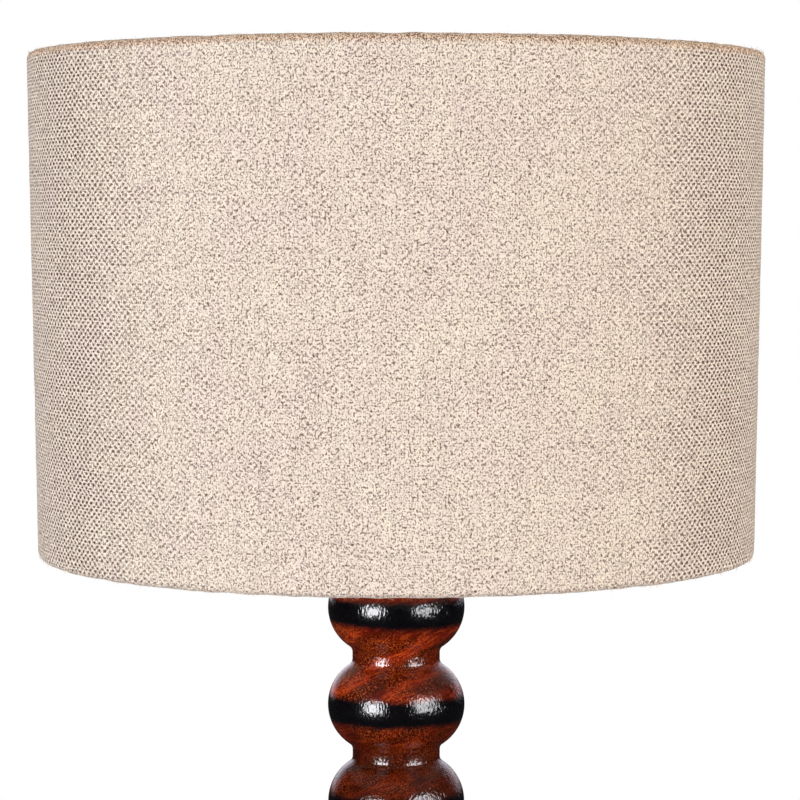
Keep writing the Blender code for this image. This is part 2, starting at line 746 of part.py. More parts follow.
def holder_sleeve(parent):
    """The threaded tube round the screw shell; the shade rings run on its outside."""
    edge = 1.0 * MM
    outline = [
        (SLEEVE_RADIUS - edge, SLEEVE_LENGTH),
        (SLEEVE_RADIUS, SLEEVE_LENGTH - edge),
        (SLEEVE_RADIUS, 0),
        (SLEEVE_BORE_RADIUS, 0),
        (SLEEVE_BORE_RADIUS, SLEEVE_LENGTH),
    ]
    obj = turned("holder_sleeve", outline, black_phenolic(), FINE_STEPS)
    return place(obj, parent, (0, 0, SLEEVE_BOTTOM))


def shade_ring(name, height):
    """A ring that runs on the sleeve's thread, standing on its own origin."""
    edge = 0.7 * MM
    bore = SLEEVE_RADIUS + 0.5 * MM
    outline = [
        (RING_RADIUS - edge, height),
        (RING_RADIUS, height - edge),
        (RING_RADIUS, edge),
        (RING_RADIUS - edge, 0),
        (bore, 0),
        (bore, height),
    ]
    return turned(name, outline, black_phenolic(), FINE_STEPS)


def lower_shade_ring(parent):
    obj = shade_ring("lower_shade_ring", LOWER_RING_HEIGHT)
    return place(obj, parent, (0, 0, LOWER_RING_BOTTOM))


def upper_shade_ring(parent):
    obj = shade_ring("upper_shade_ring", UPPER_RING_HEIGHT)
    return place(obj, parent, (0, 0, UPPER_RING_BOTTOM))


def switch_push_bar(parent):
    """The bar that is pushed from either side, turned about its own length."""
    half = HOLDER_RADIUS + BAR_PROUD
    tip = 1.2 * MM
    step = 0.35 * tip
    outline = [
        (0, half),
        (BAR_RADIUS - tip, half),
        (BAR_RADIUS - step, half - step),
        (BAR_RADIUS, half - tip),
        (BAR_RADIUS, -half + tip),
        (BAR_RADIUS - step, -half + step),
        (BAR_RADIUS - tip, -half),
        (0, -half),
    ]
    obj = turned("switch_push_bar", outline, black_phenolic(), SCREW_STEPS)
    return place(obj, parent, (0, 0, BAR_LEVEL), ALONG_X)


# Bulb.


def bulb_contact(parent):
    edge = 0.5 * MM
    outline = [
        (0, BULB_CONTACT_HEIGHT),
        (BULB_CONTACT_RADIUS, BULB_CONTACT_HEIGHT),
        (BULB_CONTACT_RADIUS, edge),
        (BULB_CONTACT_RADIUS - 3 * edge, 0),
        (0, 0),
    ]
    obj = turned("bulb_contact", outline, nickel_plate())
    return place(obj, parent, (0, 0, BULB_BOTTOM))


def bulb_insulator(parent):
    """The glass plug between the contact and the cap."""
    outline = [
        (0, BULB_INSULATOR_HEIGHT),
        (BULB_INSULATOR_RADIUS, BULB_INSULATOR_HEIGHT),
        (BULB_INSULATOR_RADIUS, BULB_INSULATOR_HEIGHT - 1.0 * MM),
        (BULB_CONTACT_RADIUS + 0.7 * MM, 0),
        (0, 0),
    ]
    obj = turned("bulb_insulator", outline, black_glass())
    return place(obj, parent, (0, 0, BULB_INSULATOR_BOTTOM))


def bulb_cap(parent):
    inner = BULB_CAP_RADIUS - BULB_CAP_WALL
    outline = ring_outline(BULB_CAP_RADIUS, inner, 0, BULB_CAP_LENGTH)
    obj = turned("bulb_cap", outline, nickel_plate())
    return place(obj, parent, (0, 0, BULB_CAP_BOTTOM))


def bulb_housing(parent):
    """The bulb's flared body, with a spigot down inside its cap."""
    neck = BULB_CAP_RADIUS + 1.0 * MM
    flare_height = BULB_HOUSING_HEIGHT - 3 * MM
    spigot = BULB_CAP_RADIUS - BULB_CAP_WALL - GAP
    outline = [(0, BULB_HOUSING_HEIGHT), (BULB_HOUSING_RADIUS, BULB_HOUSING_HEIGHT)]
    for i in range(7):
        share = 1 - i / 6
        r = neck + (BULB_HOUSING_RADIUS - neck) * share**1.7
        outline.append((r, flare_height * share))
    outline.append((spigot, 0))
    outline.append((spigot, -BULB_SPIGOT_LENGTH))
    outline.append((0, -BULB_SPIGOT_LENGTH))
    obj = turned("bulb_housing", outline, white_plastic(), FINE_STEPS)
    return place(obj, parent, (0, 0, BULB_HOUSING_BOTTOM))


def bulb_globe(parent):
    """A hollow globe, open below where it sits on the housing."""
    rim = BULB_HOUSING_RADIUS - 0.5 * MM
    low = math.acos(rim / BULB_GLOBE_RADIUS)
    centre = BULB_GLOBE_RADIUS * math.sin(low)
    inner = BULB_GLOBE_RADIUS - BULB_GLOBE_WALL
    inner_low = math.asin(centre / inner)
    outline = arc(0, centre, BULB_GLOBE_RADIUS, 90, -math.degrees(low), 7)
    outline += arc(0, centre, inner, -math.degrees(inner_low), 90, 7)
    outline[0] = (0, outline[0][1])
    outline[-1] = (0, outline[-1][1])
    obj = turned("bulb_globe", outline, opal_plastic(), FINE_STEPS)
    return place(obj, parent, (0, 0, BULB_GLOBE_BOTTOM))


# Shade.


def hoop(name, parent, radius, level):
    bpy.ops.mesh.primitive_torus_add(
        major_radius=radius,
        minor_radius=HOOP_WIRE_RADIUS,
        major_segments=SHADE_STEPS,
        minor_segments=6,
    )
    obj = finish(bpy.context.object, white_painted_steel())
    obj.name = name
    return place(obj, parent, (0, 0, level))


def lower_hoop(parent):
    return hoop("lower_hoop", parent, BOTTOM_HOOP_RADIUS, BOTTOM_HOOP_LEVEL)


def upper_hoop(parent):
    return hoop("upper_hoop", parent, TOP_HOOP_RADIUS, TOP_HOOP_LEVEL)


def carrier_washer(parent):
    """The ring that the two shade rings clamp on the lampholder."""
    bore = SLEEVE_RADIUS + 1.0 * MM
    outline = ring_outline(CARRIER_RADIUS, bore, 0, CARRIER_THICKNESS)
    obj = turned("carrier_washer", outline, white_painted_steel(), FINE_STEPS)
    return place(obj, parent, (0, 0, CARRIER_BOTTOM))


def arm_route():
    """Points (r, z) of an arm, from the washer's edge down to the top of the lower hoop."""
    start = CARRIER_RADIUS + GAP
    hoop_top = BOTTOM_HOOP_LEVEL + HOOP_WIRE_RADIUS
    drop = hoop_top + 2 * GAP + ARM_WIRE_RADIUS - CARRIER_LEVEL
    bend = (start + ARM_BEND_RUN, 0.06 * drop)
    return [(start, 0), (start + ARM_FLAT_RUN, 0), bend, (BOTTOM_HOOP_RADIUS, drop)]


def carrier_arms(parent):
    route = arm_route()
    for i in range(ARM_COUNT):
        name = f"carrier_arm_{i + 1}"
        curve = bpy.data.curves.new(name, "CURVE")
        curve.dimensions = "3D"
        curve.bevel_depth = ARM_WIRE_RADIUS
        curve.bevel_resolution = 2
        curve.use_fill_caps = True
        spline = curve.splines.new("POLY")
        spline.points.add(len(route) - 1)
        for point, (r, z) in zip(spline.points, route):
            point.co = (r, 0, z, 1)
        arm = finish(bpy.data.objects.new(name, curve), white_painted_steel())
        turn = math.radians(90 + 360 * i / ARM_COUNT)
        place(arm, parent, (0, 0, CARRIER_LEVEL), (0, 0, turn))


def fabric_outline():
    """The fabric's section: the wall, with each edge rolled round its hoop."""
    roll = ROLL_ANGLE
    outline = arc(BOTTOM_HOOP_RADIUS, BOTTOM_HOOP_LEVEL, ROLL_OUTER_RADIUS, 0, -roll, 4)
    outline += arc(BOTTOM_HOOP_RADIUS, BOTTOM_HOOP_LEVEL, ROLL_INNER_RADIUS, -roll, 0, 4)
    outline += arc(TOP_HOOP_RADIUS, TOP_HOOP_LEVEL, ROLL_INNER_RADIUS, 0, roll, 4)
    outline += arc(TOP_HOOP_RADIUS, TOP_HOOP_LEVEL, ROLL_OUTER_RADIUS, roll, 0, 4)
    return [(r, z - CARRIER_LEVEL) for r, z in outline]


def shade_fabric(parent):
    obj = turned("shade_fabric", fabric_outline(), woven_jute(), SHADE_STEPS)
    return place(obj, parent, (0, 0, CARRIER_LEVEL))


def liner_outline():
    """The liner's section: a thin wall just inside the fabric, short of both hoops."""
    low = BOTTOM_HOOP_LEVEL + LINER_INSET
    high = TOP_HOOP_LEVEL - LINER_INSET
    slope = (TOP_HOOP_RADIUS - BOTTOM_HOOP_RADIUS) / (TOP_HOOP_LEVEL - BOTTOM_HOOP_LEVEL)
    bottom = BOTTOM_HOOP_RADIUS + ROLL_INNER_RADIUS - GAP + slope * LINER_INSET
    top = TOP_HOOP_RADIUS + ROLL_INNER_RADIUS - GAP - slope * LINER_INSET
    outline = [
        (top, high),
        (bottom, low),
        (bottom - LINER_THICKNESS, low),
        (top - LINER_THICKNESS, high),
    ]
    return [(r, z - CARRIER_LEVEL) for r, z in outline]


def shade_liner(parent):
    obj = turned("shade_liner", liner_outline(), styrene_liner(), SHADE_STEPS)
    return place(obj, parent, (0, 0, CARRIER_LEVEL))


# The whole lamp, by what moves together.


def make_stand():
    stand = pivot("stand", 0)
    for make in (base_disc, feet, foot_screws, cord_grommet):
        make(stand)
    for make in (lamp_pipe, base_washer, base_nut, turned_stem, stem_cap, lock_nut):
        make(stand)
    for make in (holder_cap, holder_grub_screw, holder_insulator, terminal_screws):
        make(stand)
    for make in (centre_contact, screw_shell, holder_sleeve, lower_shade_ring):
        make(stand)


def make_bulb():
    axis = pivot("bulb_axis", BULB_BOTTOM)
    for make in (bulb_contact, bulb_insulator, bulb_cap, bulb_housing, bulb_globe):
        make(axis)


def make_shade():
    axis = pivot("shade_axis", CARRIER_LEVEL)
    for make in (carrier_washer, carrier_arms, lower_hoop, upper_hoop, shade_fabric, shade_liner):
        make(axis)


make_stand()
upper_shade_ring(pivot("upper_ring_axis", UPPER_RING_BOTTOM))
switch_push_bar(pivot("switch_axis", BAR_LEVEL))
make_bulb()
make_shade()
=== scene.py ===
"""The looks of a table lamp with a drum shade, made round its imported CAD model.

The drum's cloth is one woven sheet rolled round two wire hoops, with a lap seam at the back. The
stem and base are turned wood under gloss lacquer, with a black band round every bead. Metres,
+Z up, in the CAD's own frame: the front of the lamp faces -Y.
"""

import math
import random

import bmesh
import bpy
import numpy as np
from mathutils import Euler, Matrix, Vector, noise


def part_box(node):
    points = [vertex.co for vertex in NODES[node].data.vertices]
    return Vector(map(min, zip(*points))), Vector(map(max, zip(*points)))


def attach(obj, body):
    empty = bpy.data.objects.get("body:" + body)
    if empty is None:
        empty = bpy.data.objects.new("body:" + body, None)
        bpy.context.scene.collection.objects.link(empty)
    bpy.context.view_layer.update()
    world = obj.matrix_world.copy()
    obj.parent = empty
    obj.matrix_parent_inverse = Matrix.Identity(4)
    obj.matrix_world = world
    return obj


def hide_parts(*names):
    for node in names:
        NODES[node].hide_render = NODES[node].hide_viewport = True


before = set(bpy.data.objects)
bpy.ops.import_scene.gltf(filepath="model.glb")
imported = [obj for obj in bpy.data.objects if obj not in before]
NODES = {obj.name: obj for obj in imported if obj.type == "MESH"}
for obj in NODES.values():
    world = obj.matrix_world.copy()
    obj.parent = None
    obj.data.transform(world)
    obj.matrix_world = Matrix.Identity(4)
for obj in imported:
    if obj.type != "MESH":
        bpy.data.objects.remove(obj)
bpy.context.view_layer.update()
MM = 0.001
TURN = 2 * math.pi
EVEN = (1.0, 1.0, 1.0)


# Sizes read from the frame.


def outer_radius(node, low=-math.inf, high=math.inf):
    """The largest distance from the lamp's axis among a node's corners between two levels."""
    corners = [v.co for v in NODES[node].data.vertices]
    return max(math.hypot(c.x, c.y) for c in corners if low <= c.z <= high)


def inner_radius(node):
    return min(math.hypot(v.co.x, v.co.y) for v in NODES[node].data.vertices)


def bottom_of(node):
    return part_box(node)[0].z


def top_of(node):
    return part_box(node)[1].z


def middle_of(node):
    return (bottom_of(node) + top_of(node)) / 2


def extent(node):
    """A node's lowest and highest levels and its largest radius."""
    return bottom_of(node), top_of(node), outer_radius(node)


CLOTH_THICKNESS = 0.6 * MM
WIRE_RADIUS = 2.0 * MM
ROLL_RADIUS = WIRE_RADIUS + 0.3 * MM + CLOTH_THICKNESS / 2
TUCK = 205  # degrees round each hoop
SHADE_BOTTOM = bottom_of("shade_fabric")
SHADE_TOP = top_of("shade_fabric")
LOW_HOOP = (outer_radius("lower_hoop") - WIRE_RADIUS, middle_of("lower_hoop"))
HIGH_HOOP = (outer_radius("upper_hoop") - WIRE_RADIUS, middle_of("upper_hoop"))
SHADE_RADIUS = (LOW_HOOP[0] + HIGH_HOOP[0]) / 2 + ROLL_RADIUS
LAP = 12.0 * MM
LAP_LIFT = 0.72 * MM
FIBRES = 3200
TUFT = 14
UPPER_SHARE = 0.40
LOWER_SHARE = 0.26
FIBRE_RADIUS = 0.075 * MM
WARP_PITCH = 1.70 * MM
WEFT_PITCH = 1.40 * MM
WEAVE_UV = "weave"
REAR = math.pi / 2

BEAD_COUNT = 5
BEAD_PITCH = 41.3 * MM
BEAD_RADIUS = outer_radius("turned_stem")
BEAD_CURVE = 19.6 * MM
NECK_RADIUS = 18.4 * MM
COVE_RADIUS = 3.5 * MM
TOP_NECK = 1.56 * MM
BEAD_CENTRE = BEAD_RADIUS - BEAD_CURVE
COVE_CENTRE = NECK_RADIUS + COVE_RADIUS
BEAD_HALF = math.sqrt((BEAD_CURVE + COVE_RADIUS) ** 2 - (COVE_CENTRE - BEAD_CENTRE) ** 2)
TOP_BEAD = top_of("turned_stem") - TOP_NECK - BEAD_HALF
BULB_THREAD = 3.62 * MM
BASE_BOTTOM = bottom_of("base_disc")
BASE_TOP = top_of("base_disc")


# Camera, floor, light.

CAMERA_LENS = 129.8
CAMERA_PLACE = (1.6 * MM, -1.2074, SHADE_BOTTOM + 141.6 * MM)
CAMERA_TILT = 0.0641
LIGHT_DISTANCE = 1.24


def new_object(name, data):
    obj = bpy.data.objects.new(name, data)
    bpy.context.scene.collection.objects.link(obj)
    return obj


def make_camera():
    data = bpy.data.cameras.new("camera")
    data.lens = CAMERA_LENS
    data.sensor_width = 36.0
    data.clip_start = 0.05
    data.clip_end = 50.0
    camera = new_object("camera", data)
    camera.location = CAMERA_PLACE
    camera.rotation_euler = (math.pi / 2 - CAMERA_TILT, 0, 0)
    bpy.context.scene.camera = camera


def softbox(name, azimuth, elevation, side, power, colour, seen_in=None):
    """A square lamp aimed at the stem. Azimuth is in degrees from the front, + to the right.

    Without seen_in it lights every surface but has no reflection. With seen_in, a group of
    objects, it lights nothing and is seen only in those objects' gloss.
    """
    data = bpy.data.lights.new(name, "AREA")
    data.shape = "SQUARE"
    data.size = side
    data.energy = power
    data.color = colour
    light = new_object(name, data)
    turn = math.radians(azimuth)
    rise = math.radians(elevation)
    level = math.cos(rise)
    away = Vector((math.sin(turn) * level, -math.cos(turn) * level, math.sin(rise)))
    aim = Vector((0, 0, TOP_BEAD - BEAD_PITCH))
    light.location = aim + LIGHT_DISTANCE * away
    light.rotation_euler = away.to_track_quat("Z", "Y").to_euler()
    light.visible_camera = False
    light.visible_diffuse = seen_in is None
    light.visible_glossy = seen_in is not None
    light.light_linking.receiver_collection = seen_in
    return light


def group_of(name, objects):
    group = bpy.data.collections.new(name)
    for obj in objects:
        group.objects.link(obj)
    return group


def make_lights(stem):
    """Two soft lamps, small hard reflections of them in the stem and mild ones elsewhere."""
    warm = (1.0, 0.92, 0.87)
    cool = (1.0, 0.985, 1.05)
    lilac = (0.96, 0.97, 1.0)
    others = [obj for obj in bpy.context.scene.objects if obj.type == "MESH" and obj != stem]
    stem_only = group_of("stem_only", [stem])
    all_others = group_of("all_others", others)
    softbox("softbox_left", -52, 5, 0.80, 8.8, cool)
    softbox("softbox_right", 59, 9, 0.80, 7.3, warm)
    softbox("glint_left", -39, 4, 0.55, 41.0, lilac, stem_only)
    softbox("glint_right", 49, 9, 0.66, 36.0, lilac, stem_only)
    softbox("sheen_left", -39, 5, 0.90, 7.0, lilac, all_others)
    softbox("sheen_right", 49, 9, 0.90, 7.0, lilac, all_others)


def make_world():
    """A white studio: gloss shows a bright sheet behind the lamp and a dark room in front."""
    world = bpy.data.worlds.new("studio")
    bpy.context.scene.world = world
    g = Graph(world)
    g.tree.nodes.clear()
    path = g.add("LightPath")
    direction = g.split(g.add("TexCoord").outputs["Generated"])
    level = g.smooth(g.math("ABSOLUTE", direction[2]), 0.50, 0.18)
    behind = g.times(g.smooth(direction[1], 0.62, 0.95), level)
    gloss = g.mix(behind, (0.004, 0.004, 0.006), (1.6, 1.5, 1.7))
    seen = g.mix(path.outputs["Is Glossy Ray"], (0.60, 0.60, 0.60), gloss)
    seen = g.mix(path.outputs["Is Camera Ray"], seen, (1.0, 1.0, 1.0))
    light = g.add("Background", {"Color": seen, "Strength": 1.0})
    g.link(light.outputs[0], g.add("OutputWorld").inputs["Surface"])


def make_floor():
    """A pale floor that runs out into the white background, and that gloss hardly shows."""
    bpy.ops.mesh.primitive_circle_add(vertices=96, radius=4.0, fill_type="NGON")
    floor = bpy.context.object
    floor.name = "floor"
    g, place = new_material("pale_floor", Specular_IOR_Level=0.0)
    path = g.add("LightPath")
    mottle = g.noise(place, 3.0, 2.0)
    colour = g.mix(mottle, (0.86, 0.86, 0.86), (0.90, 0.90, 0.90))
    colour = g.mix(path.outputs["Is Glossy Ray"], colour, (0.03, 0.03, 0.03))
    g.finish(colour, g.number(mottle, 0.55, 0.65), g.bump(mottle, 0.2 * MM, 0.1))
    away = g.add("VectorMath", {0: place}, operation="LENGTH").outputs["Value"]
    beyond = g.times(g.smooth(away, 0.26, 0.62), path.outputs["Is Camera Ray"])
    white = g.add("Emission", {"Strength": 1.0})
    both = g.add("MixShader", {0: beyond, 1: g.shader.outputs[0], 2: white.outputs[0]})
    g.link(both.outputs[0], g.tree.nodes["Material Output"].inputs["Surface"])
    floor.data.materials.append(g.owner)


# Writing materials.


class Graph:
    """Writes a material's or a world's nodes: each method adds one and gives back its output."""

    def __init__(self, owner):
        owner.use_nodes = True
        self.owner = owner
        self.tree = owner.node_tree

    def link(self, value, socket):
        if isinstance(value, bpy.types.NodeSocket):
            self.tree.links.new(value, socket)
        elif isinstance(value, tuple) and socket.type == "RGBA":
            socket.default_value = (*value, 1.0)
        else:
            socket.default_value = value

    def add(self, kind, inputs=None, **settings):
        node = self.tree.nodes.new("ShaderNode" + kind)
        for name, value in settings.items():
            setattr(node, name, value)
        for name, value in (inputs or {}).items():
            self.link(value, node.inputs[name])
        return node

    def math(self, operation, *values):
        return self.add("Math", dict(enumerate(values)), operation=operation).outputs[0]

    def plus(self, a, b):
        return self.math("ADD", a, b)

    def minus(self, a, b):
        return self.math("SUBTRACT", a, b)

    def times(self, a, b):
        return self.math("MULTIPLY", a, b)

    def scaled(self, value, factor, offset):
        return self.math("MULTIPLY_ADD", value, factor, offset)

    def split(self, vector):
        return self.add("SeparateXYZ", {"Vector": vector}).outputs

    def join(self, x, y, z=0.0):
        return self.add("CombineXYZ", {"X": x, "Y": y, "Z": z}).outputs[0]

    def stretch(self, vector, scale):
        return self.add("VectorMath", {0: vector, 1: scale}, operation="MULTIPLY").outputs[0]

    def noise(self, vector, scale, detail=3.0, roughness=0.5, distortion=0.0):
        inputs = {"Vector": vector, "Scale": scale, "Detail": detail}
        inputs.update({"Roughness": roughness, "Distortion": distortion})
        return self.add("TexNoise", inputs).outputs[0]

    def smooth(self, value, low, high):
        """0 below low, 1 above high and a smooth step between them."""
        inputs = {"Value": value, "From Min": low, "From Max": high}
        return self.add("MapRange", inputs, interpolation_type="SMOOTHSTEP").outputs[0]

    def mix(self, share, a, b, blend="MIX"):
        """A colour from a to b."""
        inputs = {0: share, 6: a, 7: b}
        return self.add("Mix", inputs, data_type="RGBA", blend_type=blend).outputs[2]

    def number(self, share, a, b):
        """A number from a to b."""
        return self.add("Mix", {0: share, 2: a, 3: b}, data_type="FLOAT").outputs[0]

    def bump(self, height, distance, strength=1.0, under=None):
        inputs = {"Height": height, "Distance": distance, "Strength": strength}
        if under is not None:
            inputs["Normal"] = under
        return self.add("Bump", inputs).outputs[0]

    @property
    def shader(self):
        return self.tree.nodes["Principled BSDF"]

    def finish(self, colour, roughness, normal):
        """Links what varies over the surface to the shader, and gives back the material."""
        for name, value in (("Base Color", colour), ("Roughness", roughness), ("Normal", normal)):
            self.link(value, self.shader.inputs[name])
        return self.owner


def new_material(name, **settings):
    """A new material's writer and its coordinates. settings are its shader's constant inputs."""
    g = Graph(bpy.data.materials.new(name))
    for key, value in settings.items():
        g.shader.inputs[key.replace("_", " ")].default_value = value
    return g, g.add("TexCoord").outputs["Object"]


def mottled(name, cast, grain, tint, colours, dullness, relief, spots=None, dull_by=0, **settings):
    """A material of two noises: cast mixes its two colours, and grain is its relief.

    A noise is (stretch, scale, detail, roughness, distortion) and relief is (mm, strength). tint is
    where cast's smooth step begins and ends. spots of grain add a third colour: (begin, end,
    share, colour). dull_by picks the noise that sets the roughness: 0 is cast and 1 is grain.
    """
    g, place = new_material(name, **settings)
    waves = [g.noise(g.stretch(place, axes), *rest) for axes, *rest in (cast, grain)]
    colour = g.mix(g.smooth(waves[0], *tint) if tint else waves[0], *colours)
    if spots:
        begin, end, share, third = spots
        colour = g.mix(g.times(g.smooth(waves[1], begin, end), share), colour, third)
    bump = g.bump(waves[1], relief[0] * MM, relief[1])
    return g.finish(colour, g.number(waves[dull_by], *dullness), bump)


# The cloth's material.


def weave(g, u, v, dip_width):
    """A plain weave at yarn counts u and v: its height, and how far in a dip of the warp."""
    column = g.math("FLOOR", u)
    across = g.minus(g.math("FRACT", u), 0.5)
    along = g.plus(v, column)
    pair = g.math("FLOOR", g.times(along, 0.5))
    along = g.minus(along, g.scaled(pair, 2.0, 1.0))
    round_yarn = g.minus(1.0, g.times(g.math("POWER", across, 2.0), 4.0))
    swing = g.math("COSINE", g.times(along, math.pi))
    height = g.times(round_yarn, g.scaled(swing, -0.35, 0.65))
    wide = g.math("POWER", g.math("DIVIDE", across, dip_width), 2.0)
    tall = g.math("POWER", g.math("DIVIDE", along, 0.45), 2.0)
    dip = g.minus(1.0, g.smooth(g.plus(wide, tall), 0.40, 0.90))
    return height, dip, column, pair


def woven_jute():
    """Thick cream warp that dips under a thin dark weft, each yarn wandering and swelling, with
    painted shade in the dips and between the yarns and painted light on their crowns.
    """
    gloss = {"Sheen_Weight": 0.08, "Sheen_Roughness": 0.6, "Specular_IOR_Level": 0.1}
    g, place = new_material("woven_jute", **gloss)
    counts = g.split(g.add("UVMap", uv_map=WEAVE_UV).outputs[0])
    u, v = counts[0], counts[1]
    sway = g.noise(g.join(g.times(u, 0.45), g.times(v, 0.07)), 1.0, 2.0)
    heave = g.noise(g.join(g.times(u, 0.06), g.times(v, 0.45), 7.0), 1.0, 2.0)
    u = g.plus(u, g.scaled(sway, 1.0, -0.5))
    v = g.plus(v, g.scaled(heave, 1.0, -0.5))
    y = g.math("DIVIDE", g.split(place)[1], SHADE_RADIUS)
    # This share is 1 at the drum's front and 0 round its sides and back: away from the front the
    # dips are painted wider, darker and more often, as painted shade where raking light leaves them
    # in shadow.
    painted_front_fill = g.smooth(y, -0.50, -0.97)
    height, dip, column, pair = weave(g, u, v, g.number(painted_front_fill, 0.58, 0.46))

    slub = g.noise(g.join(g.times(column, 3.7), g.times(v, 0.05)), 1.0, 2.0)
    row = g.noise(g.join(g.times(u, 0.02), g.times(g.math("ROUND", v), 3.3), 3.0), 1.0, 2.0)
    twist = g.join(g.plus(g.times(u, 2.7), g.times(v, 0.7)), g.times(v, 1.5))
    strand = g.smooth(g.noise(twist, 1.0, 1.0, 0.5, 0.3), 0.42, 0.56)
    fibre = g.smooth(g.noise(g.stretch(place, (1.0, 1.0, 0.75)), 2100.0, 0.0), 0.44, 0.54)
    cells = {"Vector": g.join(g.times(u, 1.75), g.times(v, 1.40)), "Scale": 1.0, "Randomness": 0.75}
    knots = g.add("TexVoronoi", cells, voronoi_dimensions="2D")
    knot = g.smooth(knots.outputs["Distance"], 0.58, 0.22)
    patch = g.noise(place, 38.0, 3.0, 0.6)
    crossing = {"Vector": g.join(column, pair)}
    chance = g.add("TexWhiteNoise", crossing, noise_dimensions="2D").outputs[0]

    open_weave = g.plus(g.times(patch, 0.5), g.times(row, 0.5))
    open_weave = g.smooth(open_weave, 0.36, 0.64)
    # The dips are painted dark: partly the thin dark weft and the gaps, partly painted shade.
    sunk = g.plus(g.times(chance, 0.6), g.times(open_weave, 0.4))
    hole = g.smooth(sunk, g.number(painted_front_fill, -0.35, 0.35), g.number(painted_front_fill, 0.45, 1.10))
    hole = g.times(g.times(hole, dip), g.number(painted_front_fill, 1.0, 0.55))

    yarn = g.mix(g.smooth(slub, 0.30, 0.72), (0.915, 0.79, 0.67), (0.975, 0.865, 0.72))
    yarn = g.mix(g.times(g.smooth(patch, 0.42, 0.66), 0.4), yarn, (0.95, 0.79, 0.72))
    # The colour runs from a shaded copy of the yarn, which is painted shade, to the yarn itself:
    # strands and fibres are the yarn's own texture, while its crowns and knots are painted lighter.
    shaded = g.mix(1.0, yarn, (0.14, 0.090, 0.058), blend="MULTIPLY")
    light = g.plus(g.times(strand, 0.30), g.times(fibre, 0.46))
    light = g.plus(light, g.times(height, 0.16))
    light = g.plus(light, g.times(knot, g.number(painted_front_fill, 0.24, 0.46)))
    colour = g.mix(g.smooth(light, 0.0, 0.86), shaded, yarn)
    # The dips' dark brown is the dark weft and painted shade together.
    colour = g.mix(hole, colour, g.mix(chance, (0.032, 0.010, 0.005), (0.085, 0.036, 0.020)))

    level = g.split(place)[2]
    ragged = g.scaled(g.noise(place, 560.0, 3.0, 0.7), 6.0 * MM, -3.0 * MM)
    level = g.plus(level, ragged)
    upper = g.smooth(level, SHADE_TOP - 4.2 * MM, SHADE_TOP - 1.4 * MM)
    lower = g.minus(1.0, g.smooth(level, SHADE_BOTTOM + 0.6 * MM, SHADE_BOTTOM + 2.2 * MM))
    tan = g.mix(fibre, (0.16, 0.062, 0.024), (0.92, 0.66, 0.45))
    grey = g.mix(fibre, (0.17, 0.12, 0.095), (0.80, 0.68, 0.58))
    colour = g.mix(g.times(upper, 0.8), colour, tan)
    colour = g.mix(g.times(lower, 0.7), colour, grey)

    relief = g.plus(height, g.times(strand, 0.5))
    relief = g.minus(relief, g.times(dip, 0.5))
    normal = g.bump(relief, 0.40 * MM, 0.8)
    return g.finish(colour, g.number(fibre, 0.80, 0.95), normal)


def loose_fibre():
    tint = (EVEN, 160.0, 2.0)
    colours = (0.55, 0.42, 0.31), (0.86, 0.76, 0.64)
    look = (tint, tint, (0.35, 0.65), colours, (0.7, 0.9), (0.02, 0.3))
    return mottled("loose_fibre", *look, Sheen_Weight=0.2)


# The wood's material.


def from_bead(g, level, middle):
    """The distance in pitches from the nearest bead's middle, where the top bead's is given."""
    count = g.math("DIVIDE", g.minus(level, middle), BEAD_PITCH)
    return g.math("ABSOLUTE", g.minus(count, g.math("ROUND", count)))


def bead_bands(g, level):
    """1 in the black band round each bead's equator, 0 between the bands."""
    away = g.times(from_bead(g, level, TOP_BEAD - 0.5 * MM), BEAD_PITCH)
    return g.minus(1.0, g.smooth(away, 4.0 * MM, 7.8 * MM))


def neck_stain_and_shade(g, level):
    """1 at the narrowest of each neck, where stain gathers and shade is painted, 0 on the beads."""
    return g.smooth(from_bead(g, level, TOP_BEAD), 0.30, 0.45)


def edge_bands(g, level):
    """1 in the black band round the base's rounded edge, 0 above it."""
    away = g.math("ABSOLUTE", g.minus(level, BASE_BOTTOM + 9.5 * MM))
    return g.minus(1.0, g.smooth(away, 4.2 * MM, 7.4 * MM))


